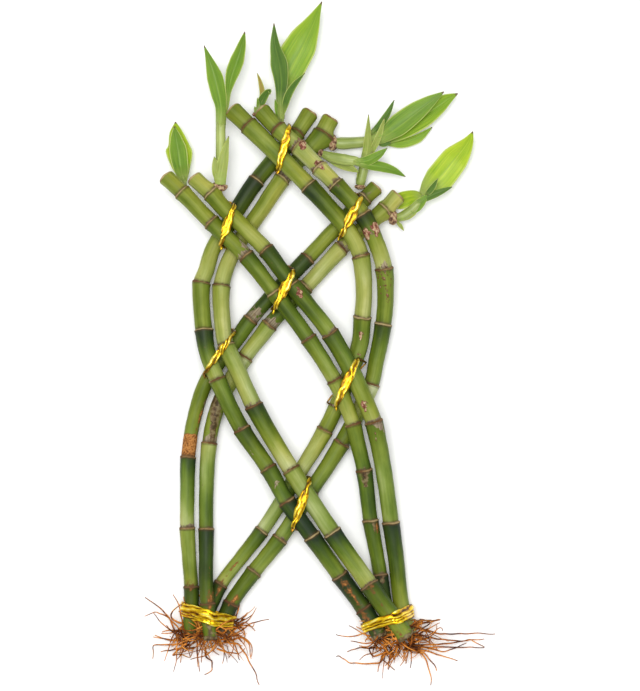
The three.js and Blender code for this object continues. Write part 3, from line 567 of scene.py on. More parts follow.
# %% Cane routes
CANES = {
    "far_left_outer": [
        (42.6, -175.5, 5.7, 4.6), (39.6, -160, 5.7, 4.6), (36.3, -137.7, 6.4, 4.5, 0.95, 0.55, 0),
        (30.3, -105, 9.2, 4.7, 0.75, 0.45, 1), (26.4, -74.7, 13.2, 4.8, 0.8, 0.55, 0),
        (22.8, -59.7, 16, 4.8), (19.8, -47.1, 17.9, 4.8, 0.62, 0.68, 1), (14.4, -32.7, FRONT, 4.8),
        (9, -21, FRONT, 4.8, 0.5, 0.32, 1), (-6.9, 4.2, FRONT, 4.9, 0.68, 0.4, 2),
        (-27.3, 31.8, FRONT, 4.9, 0.5, 0.62, 0), (-44.4, 53.5, FRONT, 4.9, 0.8, 0.42, 5),
        (-65.1, 73.8, FRONT, 5, 0.6, 0.53, 2), (-82.6, 91.8, FRONT, 5, 0.36, 0.33, 0),
        (-92.8, 101.4, FRONT, 5),
    ],
    "far_left_inner": [
        (54, -176.7, 6.1, 5), (48.9, -156, 6.1, 5), (45.9, -129.9, 7, 5),
        (42.6, -106.2, 9.2, 5.1, 0.98, 0.2, 1), (38.1, -74.7, 13.2, 5.2), (34.8, -57.3, 16.3, 5.2),
        (32.1, -45.6, 18.2, 5.3, 0.75, 0.33, 3), (23.7, -25.5, FRONT, 5.5),
        (19.6, -16.8, FRONT, 5.4), (6, 7.2, FRONT, 5.3, 0.8, 0.4, 3),
        (-16.8, 36.3, FRONT, 5, 0.72, 0.42, 0), (-32.4, 57.2, FRONT, 5, 0.9, 0.7, 1),
        (-49.6, 74.6, FRONT, 5), (-57.6, 82.2, FRONT, 5), (-65.4, 90.9, FRONT, 5, 0.4, 0.36, 1),
        (-76, 100.8, FRONT, 4.9),
    ],
    "mid_right_inner": [
        (36.6, -175.5, 14.3, 5.2), (31.8, -167.1, 13.6, 5.2), (26.4, -158.1, 13, 5.2, 1, 0.8, 0),
        (19.2, -147.9, 12.8, 5.2), (11.7, -137.7, 13.6, 5.2, 1, 0.75, 0),
        (-5.1, -114, 17.6, 5.2, 1, 0.4, 1), (-19.8, -93.6, FRONT, 5.1, 1, 0.85, 0),
        (-31.2, -73.2, FRONT, 5.1, 0.85, 0.65, 0), (-46.8, -50.1, FRONT, 5.1, 0.85, 0.6, 2),
        (-61.5, -20.1, FRONT, 5.1, 0.6, 0.7, 1), (-67.5, -4.2, 16.6, 5.2),
        (-69.6, 9.3, 14.6, 5.4, 0.95, 0.32, 0), (-71.1, 24.3, 12, 5.3),
        (-71.1, 37.5, 9.6, 5.2, 0.6, 0.4, 1), (-68.4, 45.3, 8.4, 5.1), (-64.7, 57.1, BACK, 5),
        (-55, 73.2, BACK, 5), (-38.1, 99.2, BACK, 5, 0.98, 0.28, 0),
        (-14, 127.7, BACK, 5.1, 0.6, 0.66, 0), (-5.7, 140.1, BACK, 5.1),
    ],
    "mid_right_outer": [
        (52.2, -175.5, 17.7, 5.7), (45, -164.7, 17.9, 5.7), (38.4, -156.3, 18, 5.7),
        (29.4, -143.1, 18.6, 5.7, 0.76, 0.43, 2), (7.2, -111.9, FRONT, 5.5, 0.94, 0.12, 1),
        (-17.4, -74.1, FRONT, 5.4, 0.48, 0.24, 1), (-39.6, -36, FRONT, 5.4, 1, 0.18, 3),
        (-49.5, -14.4, FRONT, 5.3), (-56.3, 0.4, 18.5, 5.2, 0.36, 0.28, 1),
        (-58.6, 15.3, 14.8, 5.2), (-59.1, 35.7, 10, 5.2, 0.42, 0.05, 1), (-55.1, 50, 7.9, 5.1),
        (-47.6, 63.6, BACK, 5), (-36.8, 79.2, BACK, 5), (-22.6, 100.1, BACK, 5, 0.27, 0.27, 5),
        (1.2, 127.5, BACK, 5.5, 0.7, 0.3, 0), (6.6, 136.5, BACK + 0.8, 5.2),
    ],
    "far_right_inner": [
        (-78.9, -174.9, 5.6, 4.5), (-77.4, -156, 5.6, 4.5), (-77.4, -144.9, 6, 4.5, 0.75, 0.6, 0),
        (-78.6, -128.7, 6.6, 4.5), (-79.8, -109.5, BACK, 4.5, 0.38, 0.32, 4),
        (-79.8, -89.7, BACK, 4.5), (-79.2, -66.9, BACK, 4.5, 0.95, 0.15, 0),
        (-76.5, -47.7, BACK, 4.5), (-69.3, -23.7, BACK, 4.6), (-60.6, -9.9, BACK, 4.6),
        (-50, 3.8, BACK, 4.6), (-41.7, 15.6, BACK, 4.6, 0.66, 0.55, 9),
        (-7.4, 52.7, BACK, 4.7, 0.95, 0.6, 1), (27, 88.5, BACK, 4.7, 0.5, 0.47, 2),
        (34.2, 95.4, BACK, 4.7),
    ],
    "far_right_outer": [
        (-65.4, -176.7, 15, 4.5), (-66.6, -165.9, 15, 4.5), (-67.5, -155.1, 14.9, 4.5, 0.7, 0.6, 1),
        (-68.1, -146.7, 13.9, 4.5), (-68.4, -137.7, 11.4, 4.5), (-68.4, -128.7, 9, 4.5),
        (-68.4, -110.1, BACK, 4.6, 0.95, 0.62, 1), (-68.4, -89.7, BACK, 4.6),
        (-66.6, -58.5, BACK, 4.6, 0.36, 0.55, 8), (-62.1, -38.7, BACK, 4.7),
        (-54.6, -23.1, BACK, 4.8), (-45, -6.9, BACK, 4.9, 0.2, 0.55, 1), (-34.9, 6.3, BACK, 4.9),
        (-30.4, 12.4, BACK, 4.9, 0.38, 0.26, 7), (-8.3, 35.5, BACK, 4.9, 0.62, 0.55, 1),
        (12.9, 58.5, BACK, 4.9, 0.28, 0.2, 4), (39, 81.9, BACK, 5, 0.3, 0.35, 0),
        (47.1, 90.3, BACK, 5),
    ],
    "mid_left_outer": [
        (-69.6, -174.3, 5.3, 4.2), (-66.9, -160, 5.3, 4.2), (-63.6, -152.1, 5.4, 4.2),
        (-59.4, -143.4, 5.8, 4.3, 0.82, 0.65, 0), (-47.4, -127.5, 6.6, 4.3),
        (-34.8, -111.3, BACK, 4.4, 0.78, 0.12, 1), (-15.6, -81.3, BACK, 4.6, 0.72, 0.12, 1),
        (3, -51, BACK, 4.9, 0.38, 0.27, 1), (15.6, -23.1, BACK, 5.2), (24, 1.5, 8.2, 5.2),
        (25.5, 17.1, 10.8, 5.2, 0.44, 0.48, 2), (26.4, 33.3, 14, 5.2),
        (24.3, 53.7, 17.6, 5.3, 0.4, 0.12, 2), (19.2, 65.7, 18.7, 5.3), (10.8, 76.5, FRONT, 5.3),
        (-6.6, 95.4, FRONT, 5.4, 0.82, 0.3, 1), (-42.9, 131.7, FRONT, 5.6, 0.6, 0.26, 0),
        (-52.8, 141.3, FRONT, 5.6),
    ],
    "mid_left_inner": [
        (-58.8, -173.1, 5.9, 4.8), (-57.2, -164.4, 5.9, 4.8), (-53.4, -155.1, 6.2, 4.8, 1, 0.7, 0),
        (-39.6, -135.9, 6.8, 4.8, 0.5, 0.62, 1), (-24, -116.1, BACK, 4.8, 0.64, 0.3, 2),
        (-5.4, -87.3, BACK, 4.9, 0.6, 0.35, 1), (12.9, -58.8, BACK, 4.9, 0.6, 0.55, 2),
        (30.9, -23.1, BACK + 0.2, 4.9, 0, 0.65, 1), (33.9, -8.7, 8.2, 5),
        (38.1, 13.2, 10.4, 5.1, 0.7, 0.5, 1), (39.3, 29.1, 13, 5.2),
        (38.4, 46.2, 15.8, 5.3, 0.6, 0.43, 1), (33, 63.3, 18.4, 5.2),
        (25.8, 78, FRONT, 5.2, 1, 0.2, 0), (9.6, 96.3, FRONT, 5.1, 0.66, 0.36, 3),
        (-0.6, 106.5, FRONT, 5.1, 0.1, 0.15, 3), (-13.2, 119.1, FRONT, 5.1, 0.2, 0.1, 3),
        (-25.2, 129.6, FRONT, 5.2, 0.54, 0.34, 1), (-35.4, 141, FRONT, 5.2),
    ],
}
TOP_SHADE = {
    "far_left_outer": 0.34,
    "far_left_inner": 0.2,
    "mid_right_inner": 0.52,
    "mid_right_outer": 0.45,
    "far_right_inner": 0.43,
    "far_right_outer": 0.12,
    "mid_left_outer": 0.52,
    "mid_left_inner": 0.56,
}
print("canes", len(CANES), "rings", sum(len(p) > 4 for route in CANES.values() for p in route))

# %% [markdown]
# Between two rings a cane is slimmest just above the lower ring and swells towards the
# upper one. Its widest place is right below a ring, where the old sheath sat, and above
# the ring it steps in. The cut top has a narrow lip and a sunken face, because the pith
# dries and sinks. BEAD and LIP hold a distance, a share of the radius, and how brown
# the bark is there, and the three CLEAR lengths keep plain sections away from them.

# %% Cane profile
CANE_SIDES = 36
SECTION = 2.2
CLEAR_BELOW, CLEAR_ABOVE, CLEAR_TOP = 2.4, 2, 2.2
FOOT = [(0, 0.8), (0.3, 0.93), (0.9, 1)]
SWELL = [(0, 0.95), (0.25, 0.94), (0.65, 0.975), (0.9, 1.02), (1, 1.05)]
BEAD = [
    (-1.8, 1.05, 0.0), (-1, 1.06, 0.0), (-0.6, 1.085, 0.7), (-0.1, 1.09, 1.0),
    (0.2, 1.04, 1.0), (0.5, 0.97, 0.8), (0.9, 0.95, 0.0),
]
RING_ENDS = (-1.9, 1.2)
# Painted shade in the grooves beside a ring: a distance from the ring in millimetres and how dark
# the painted shade is there.
GROOVE_SHADE = [
    (-1.6, 0.0), (-1, 1.2), (-0.5, 0.5), (-0.1, 0.0), (0.3, 0.6), (0.8, 1.5), (1.3, 0.6),
    (2.4, 0.0),
]
LIP = [(-1.7, 1, 0), (-1.2, 0.995, 0.6), (-0.7, 0.97, 1), (-0.3, 0.92, 1), (0, 0.84, 1)]
LIP_SWELL = 1.02
SUNKEN = [(-0.2, 0.78), (-0.7, 0.5), (-0.8, 0.1)]


def cane_plan(route):
    """Sections of the straight cane as (distance, radius), its rings, and its masks"""
    points = [metres(p[:3]) for p in route]
    places = route_lengths(points)
    radii = [(place, p[3] * MM) for place, p in zip(places, route)]
    rings = [(place, *p[4:]) for place, p in zip(places, route) if len(p) > 4]
    end = places[-1]
    sections = [(place * MM, between(radii, 0) * share) for place, share in FOOT]
    ring_mask, groove_shade_mask = [(0, 0)], [(0, 0)]
    stops = [ring[0] for ring in rings] + [end]
    for k, (start, stop) in enumerate(zip([0] + stops, stops)):
        first = start + CLEAR_ABOVE * MM
        last = stop - (CLEAR_BELOW if k < len(rings) else CLEAR_TOP) * MM
        steps = max(2, round((last - first) / (SECTION * MM)))
        for i in range(steps + 1):
            place = first + (last - first) * i / steps
            share = (place - start) / (stop - start)
            sections.append((place, between(radii, place) * between(SWELL, share)))
        if k < len(rings):
            for shift, swell, mask in BEAD:
                place = stop + shift * MM
                sections.append((place, between(radii, place) * swell))
                ring_mask.append((place, mask))
            ring_mask += [(stop + shift * MM, 0) for shift in RING_ENDS]
            groove_shade_mask += [(stop + shift * MM, mask) for shift, mask in GROOVE_SHADE]
    top = between(radii, end) * LIP_SWELL
    sections += [(end + shift * MM, top * swell) for shift, swell, mask in LIP]
    sections += [(end + shift * MM, top * swell) for shift, swell in SUNKEN]
    ring_mask += [(end + shift * MM, mask) for shift, swell, mask in LIP]
    return points, sections, rings, sorted(ring_mask), sorted(groove_shade_mask), end, top


for name, route in CANES.items():
    print(name, "sections", len(cane_plan(route)[1]))

# %% [markdown]
# The marks that stand out in the bunch are listed by cane and kind. A mark is a short
# stroke on the upper side that narrows towards its second end: two ends, a radius and a
# strength. FULL is its share of the strength on the stroke itself, and TAPER the share
# of the radius that is lost at the second end. All lengths are in millimetres.

# %% Marks by cane
MARKS = {
    "far_left_outer": {
        "paper": [(-44.5, 59.5, -47.5, 62, 3.4, 0.6)],
        "stain": [
            (26.4, -75.6, 27.4, -85, 4, 0.62), (32.5, -107, 33, -112, 2, 0.5),
            (37, -138.5, 38, -143, 4.6, 0.5), (-3.2, 4, 0, 0, 2, 0.35),
        ],
        "rust": [(34, -107.5, 34.4, -113, 1.8, 0.5), (37.5, -150, 39, -175, 3.4, 0.45)],
    },
    "far_left_inner": {
        "scab": [
            (-12.6, 33, -11, 28, 4.4, 0.56), (26.4, -35, 27.6, -39, 4, 0.62),
            (33, -52, 34, -60, 1.4, 0.42),
        ],
        "paper": [(34.6, -46.5, 38, -51, 4.2, 0.62)],
    },
    "mid_left_outer": {
        "scab": [(24.6, 6.6, 24.6, 4, 3, 0.66), (23.4, -5.2, 23.4, -7, 2.2, 0.6)],
        "rust": [(-48, -128, -60, -143, 1.6, 0.42), (-59, -143, -62, -150, 3, 0.45)],
        "stain": [(-34, -111, -36, -113, 3, 0.35)],
    },
    "mid_left_inner": {
        "scab": [
            (-10.6, 121.4, -9.8, 117.6, 5, 0.78), (-1, 108.6, 2, 106, 4, 0.66),
            (27.6, 67.4, 28.4, 64, 4.2, 0.74), (33.4, 71, 34, 66.6, 4.4, 0.8),
            (37.6, 45.6, 41, 27, 11, 0.37), (-5, 111.5, 4, 103, 2.4, 0.3),
        ],
        "stain": [(27.5, 69, 33, 66, 5, 0.42), (8.6, 98.4, 11, 95.5, 3.6, 0.5)],
        "paper": [(38.6, 46.6, 38.6, 50, 4.6, 0.6)],
        "rust": [(-50, -151, -55, -156, 3, 0.5)],
    },
    "mid_right_inner": {
        "paper": [(-25.2, -81, -27, -85, 2.8, 0.5), (-41.4, -63, -40, -66, 1.3, 0.5)],
        "rust": [(14, -142, 24, -156, 4, 0.42), (24, -158, 33, -170, 4, 0.42)],
        "stain": [(28, -164, 34, -174, 4, 0.5)],
    },
    "mid_right_outer": {
        "scab": [(-5.6, 121, -3.6, 118.6, 3, 0.3)],
        "rust": [
            (30, -144.4, 32, -148, 4.4, 0.46), (36, -153, 41, -162, 1.6, 0.42),
            (46, -172, 50, -175, 4, 0.4),
        ],
    },
    "far_right_inner": {
        "paper": [(-38.4, 19, -35.5, 22, 4.4, 0.62)],
        "stain": [
            (-38.8, 18.6, -38, 19.4, 3.8, 0.4), (-68, -33, -74, -56, 2.2, 0.55),
            (30, 91, 30.5, 91.5, 3.6, 0.4),
        ],
        "rust": [(-71, -40, -75, -53, 1.3, 0.5), (-77.4, -143.6, -77.6, -147, 4.6, 0.45)],
    },
    "far_right_outer": {
        "paper": [(-29.8, 13.6, -27, 16.6, 4.4, 0.62), (-63.5, -36, -66.4, -57, 2, 0.5)],
        "stain": [
            (-61.6, -29, -64.8, -57, 5.4, 0.75), (40.5, 80, 41, 81, 3.4, 0.4),
            (-66, -166, -66, -176, 5, 0.5),
        ],
        "rust": [(-66, -132, -66, -150, 1.5, 0.3), (-65.6, -149, -66, -158, 4.6, 0.42)],
        "scab": [(42.4, 79, 43, 78, 3.4, 0.62)],
    },
}
UPPER_SIDE = 0.05
FULL, TAPER = 1.25, 0.6
print("canes with marks", len(MARKS))


def mark_strength(vertex, marks):
    best = 0.0
    if vertex.normal.z < UPPER_SIDE:
        return best
    spot = vertex.co.xy / MM
    for x0, y0, x1, y1, radius, strength in marks:
        start = Vector((x0, y0))
        along = Vector((x1, y1)) - start
        share = min(max((spot - start).dot(along) / max(along.length_squared, 1e-9), 0), 1)
        away = (spot - start - along * share).length
        best = max(best, strength * (FULL - away / (radius * (1 - TAPER * share))))
    return best


# %% [markdown]
# Some numbers follow from the distance along a cane: how dark the bark is, how much
# papery sheath, rust or stain it has, and whether it is the cut face. The node under a
# shoot swells towards it, and high in the bunch the rings lean towards the tip.

# %% Numbers along a cane
FOOT_ROT, FOOT_STAIN = 7.0, 0.75
CUT_DEPTH, CUT_WIDTH = 0.9, 0.8
SHADE_FADE = 1.4
SHEATH, SHEATH_LOSS = 0.6, 0.3
RUST_BAND = {"far_right_inner": (6, 15, 0.7)}
SHOULDERS = {
    "far_left_inner": (2.6, 3, 3.2),
    "mid_right_outer": (3.8, 7, 2.6),
    "far_right_outer": (1.8, 3.5, 3),
}
TOP_LEAN = [(10, 0.0), (120, 0.26)]


def shade_at(rings, place, top_shade):
    below = 0
    for ring, dark, light, paper in rings:
        if place <= ring:
            share = min(1, (ring - place) / (ring - below))
            return light + (dark - light) * (1 - share) ** SHADE_FADE
        below = ring
    return top_shade


def sheath_at(rings, place):
    for ring, dark, light, paper in rings:
        above = (place - ring) / MM
        if 0 <= above <= paper:
            return SHEATH - SHEATH_LOSS * above / paper
    return 0.0


def rust_at(name, place, places):
    """An orange band above one ring"""
    ring, wide, strength = RUST_BAND.get(name, (0, 0, 0))
    return strength if 0 < (place - places[ring]) / MM < wide else 0.0


def is_cut(point, end, top):
    near_end = point.x > end - CUT_DEPTH * MM
    return float(near_end and math.hypot(point.y, point.z) < top * CUT_WIDTH)


def foot_stain_at(place):
    return max(0.0, FOOT_STAIN * (1 - place / MM / FOOT_ROT))


def shoulder(name, place, last_ring):
    """Swelling of the node under a shoot, towards the side where the shoot is"""
    reach, below, above = SHOULDERS.get(name, (0, 1, 1))
    away = (place - last_ring) / MM
    return reach * MM * math.exp(-(away / (below if away < 0 else above)) ** 2)


print("swollen nodes", list(SHOULDERS))

# %% [markdown]
# Now the canes are built. What depends on the distance along the cane is noted while it
# is straight, and the marks with a place in the bunch are added once it is bent. A weak
# displacement along the cane makes its rings wavy, and another makes it a little uneven.

# %% Build the canes
RING_WAVES, UNEVEN = 1.6, 0.5
unevenness = cloud_texture("cane_unevenness", 9)

for name, route in CANES.items():
    points, sections, rings, ring_mask, groove_shade_mask, end, top = cane_plan(route)
    places = route_lengths(points)
    heights = [(place, p[1]) for place, p in zip(places, route)]
    cane = turned_rod("bark_" + name, sections, CANE_SIDES)
    keep_straight(cane)
    paint(cane, "shade", lambda v: shade_at(rings, v.co.x, TOP_SHADE[name]))
    paint(cane, "ring", lambda v: between(ring_mask, v.co.x))
    # Painted shade in the grooves beside the rings.
    paint(cane, "groove_shade", lambda v: between(groove_shade_mask, v.co.x))
    paint(cane, "cut", lambda v: is_cut(v.co, end, top))
    along = [vertex.co.x for vertex in cane.data.vertices]
    kept = {
        "paper": [sheath_at(rings, place) for place in along],
        "rust": [rust_at(name, place, places) for place in along],
        "stain": [foot_stain_at(place) for place in along],
        "scab": [0.0] * len(along),
    }
    for vertex, place in zip(cane.data.vertices, along):
        outward = max(0, -vertex.co.y / max(math.hypot(vertex.co.y, vertex.co.z), 1e-6))
        vertex.co.y -= outward ** 2 * shoulder(name, place, rings[-1][0])
        vertex.co.x += vertex.co.z * between(TOP_LEAN, between(heights, place))
    displace(cane, "wavy_rings", unevenness, RING_WAVES, "X")
    displace(cane, "uneven", unevenness, UNEVEN, "NORMAL")
    bend_along(cane, points)
    for kind, values in kept.items():
        marks = MARKS[name].get(kind, [])
        paint(cane, kind, lambda v: max(values[v.index], mark_strength(v, marks)))
    smooth(cane)
    finish_piece(cane, bark.material, "cane_" + name)
    print(cane.name, "length mm", round(end / MM), "vertices", len(cane.data.vertices))

# %% [markdown]
# A leaf starts as a flat grid. At its base it clasps the stem as a rolled sheath, and it
# opens towards the tip. Operators move a whole row alike, but in a rolled row each
# vertex moves differently, so the rows are shaped vertex by vertex while the blade is
# straight. It is then bent along its spine and given a little thickness.

# %% Leaf helper
BLADE_ROWS, BLADE_COLUMNS = 28, 12
SHEATH_PART = 0.3
OPEN_ANGLE, SUNK_ANGLE = 0.18, 0.7
SKIN = 0.4
PLAIN_LEAF = [
    (0, 0.34), (0.1, 0.52), (0.2, 0.74), (0.3, 0.9), (0.42, 1), (0.55, 0.96), (0.65, 0.86),
    (0.76, 0.68), (0.86, 0.45), (0.94, 0.22), (1, 0.03),
]
ripple = cloud_texture("leaf_ripple", 11)


def blade_edges(width):
    """Half widths on the left and the right as (share of length, half width)"""
    if isinstance(width, tuple):
        return width
    if isinstance(width, list):
        return width, width
    return ([(share, wide * width) for share, wide in PLAIN_LEAF],) * 2


def leaf_blade(name, spine, width, material, roll, fold, waves):
    points = [metres(p) for p in spine]
    length = route_lengths(points)[-1]
    left, right = blade_edges(width)
    select_only()
    bpy.ops.mesh.primitive_grid_add(
        x_subdivisions=BLADE_ROWS, y_subdivisions=BLADE_COLUMNS, size=1, location=(0, 0, 0),
        calc_uvs=True,
    )
    blade = new_piece(name)
    uv = blade.data.uv_layers[0]
    uv.name = "UVMap"
    for loop, place in zip(blade.data.loops, uv.data):
        co = blade.data.vertices[loop.vertex_index].co
        place.uv = (co.y + 0.5, co.x + 0.5)
    for vertex in blade.data.vertices:
        share = vertex.co.x + 0.5
        across = vertex.co.y * 2
        wide = eased(left if across > 0 else right, share) * MM
        opened = min(1, share / SHEATH_PART)
        angle = max(abs(roll), OPEN_ANGLE)
        angle += (OPEN_ANGLE - angle) * opened * opened * (3 - 2 * opened)
        radius = wide / math.sin(min(angle, math.pi / 2))
        side = radius * math.sin(angle * across)
        rise = radius * (1 - math.cos(angle * across)) + fold * abs(side)
        rise -= wide * min(1, angle / SUNK_ANGLE)
        vertex.co = (share * length, side, math.copysign(1, roll) * rise)
    bend_along(blade, points)
    displace(blade, "wave", ripple, waves, "Z")
    skin = blade.modifiers.new("skin", "SOLIDIFY")
    skin.thickness = SKIN * MM
    skin.offset = 0
    apply_modifiers(blade)
    smooth(blade, 60)
    blade.data.materials.append(material)
    return blade


print("leaf helper ready")

# %% [markdown]
# A stem is a turned rod, and its collar is a ball that is flattened and then crumpled
# by noise until nothing of the ball is left.

# %% Stems and collars
STEM_SIDES, STEM_SECTION = 20, 2.5
CRUMBLE = 1.5
crumbs = cloud_texture("collar_crumbs", 1.6, 3)


def soft_stem(name, route, flat):
    points = [metres(p[:3]) for p in route]
    places = route_lengths(points)
    end = places[-1]
    radii = [(place, p[3] * MM) for place, p in zip(places, route)]
    steps = max(6, round(end / (STEM_SECTION * MM)))
    shares = [i / steps for i in range(steps + 1)]
    sections = [(end * (0.02 + 0.96 * share), between(radii, end * share)) for share in shares]
    ends = (0, radii[0][1] * 0.8), (end, radii[-1][1] * 0.7)
    stem = turned_rod(name, [ends[0], *sections, ends[1]], STEM_SIDES)
    keep_straight(stem)
    if flat != 1:
        edit_all()
        bpy.ops.transform.resize(value=(1, 1, flat), center_override=(0, 0, 0))
        back_to_object()
    bend_along(stem, points)
    smooth(stem, 50)
    stem.data.materials.append(stem_green.material)
    return stem


def bud_collar(name, place, size):
    select_only()
    bpy.ops.mesh.primitive_ico_sphere_add(subdivisions=4, radius=1, location=(0, 0, 0))
    collar = new_piece(name)
    edit_all()
    bpy.ops.transform.resize(value=metres(size), center_override=(0, 0, 0))
    bpy.ops.transform.translate(value=metres(place))
    back_to_object()
    displace(collar, "crumple", crumbs, CRUMBLE, "NORMAL")
    apply_modifiers(collar)
    smooth(collar, 30)
    collar.data.materials.append(collar_brown.material)
    return collar


print("stem helpers ready")

# %% [markdown]
# Eight shoots stand at the top nodes. Each is a stem with leaves that leave it in turn,
# and seven have a collar. A stem is a list of x, y, z and radius, and one stem is
# pressed flat. A collar has its place and its half size.

# %% Stems and collars by shoot
STEMS = {
    "far_left_outer": [(-81.2, 93.6, 12.4, 1.6), (-81.6, 98, 11.6, 1.6), (-82, 102, 10.8, 0.4)],
    "far_left_inner": [
        (-60.8, 97.5, 19, 3), (-60.3, 99.5, 19.2, 3.4), (-59.6, 104, 19.5, 3.1),
        (-59.4, 117.3, 20.5, 3), (-59.5, 132, 21.3, 2.9), (-59.5, 138, 21.4, 1.6),
        (-59.5, 141.5, 21.2, 0.4),
    ],
    "mid_left_outer": [(-39, 138, 12.2, 1.2), (-37.8, 140.6, 11.9, 2), (-36, 144, 12, 1.5)],
    "mid_left_inner": [
        (-23.6, 133, 12.4, 1.8), (-23.6, 137, 13.2, 2.2), (-24.1, 143, 14.2, 2),
        (-24.1, 149, 14.6, 0.5),
    ],
    "mid_right_outer": [
        (9, 122, 6.4, 3), (12, 121.6, 5.8, 3.8), (19, 121.8, 5.5, 3.5), (28, 122.7, 5.5, 3.2),
        (35, 124.3, 5.8, 1.6), (38, 125.4, 6, 0.5),
    ],
    "mid_right_inner": [
        (1, 115.4, 8.8, 2), (6, 113.4, 10, 3.1), (15, 111.4, 12.6, 3.5), (22.8, 110.6, 14.6, 2.6),
        (27, 110.2, 15.2, 0.6),
    ],
    "far_right_inner": [
        (24, 96.4, 7.4, 2.6), (24.4, 98.7, 7.6, 3.1), (26, 105.3, 8.4, 3), (27.6, 113.1, 9.6, 2.4),
        (28.2, 117.6, 10.2, 0.5),
    ],
    "far_right_outer": [
        (45.7, 76.5, 7.4, 2.4), (50.2, 78, 8, 3), (55.8, 82, 9, 2.8), (60.6, 87, 9.8, 2),
        (64, 89.4, 10.2, 0.5),
    ],
}
FLATNESS = {"mid_right_inner": 0.5}
COLLARS = {
    "far_left_inner": ((-60.6, 95, 18.6), (5.2, 3, 4)),
    "mid_left_outer": ((-38.6, 138.6, 12), (2, 1.6, 1.8)),
    "mid_left_inner": ((-23.8, 132.6, 12.4), (2.6, 1.9, 2.2)),
    "mid_right_outer": ((7.6, 122, 6.6), (3, 5, 3.8)),
    "mid_right_inner": ((0.4, 115.6, 8.6), (1.8, 2.4, 2)),
    "far_right_inner": ((24.2, 95.4, 7.4), (3.4, 1.5, 2.8)),
    "far_right_outer": ((44, 76.8, 7.6), (3, 4.4, 3.4)),
}
print("stems", len(STEMS), "collars", len(COLLARS))

# %% [markdown]
# A leaf has its spine, its half width, its colour, how much its base rolls round the
# stem (a minus rolls it the other way), how far it folds along the midrib, and how wavy
# it is. A half width is one number for a plain leaf, a list along the leaf, or two
# lists where its sides differ. A list holds shares of the length, each with a half
# width.

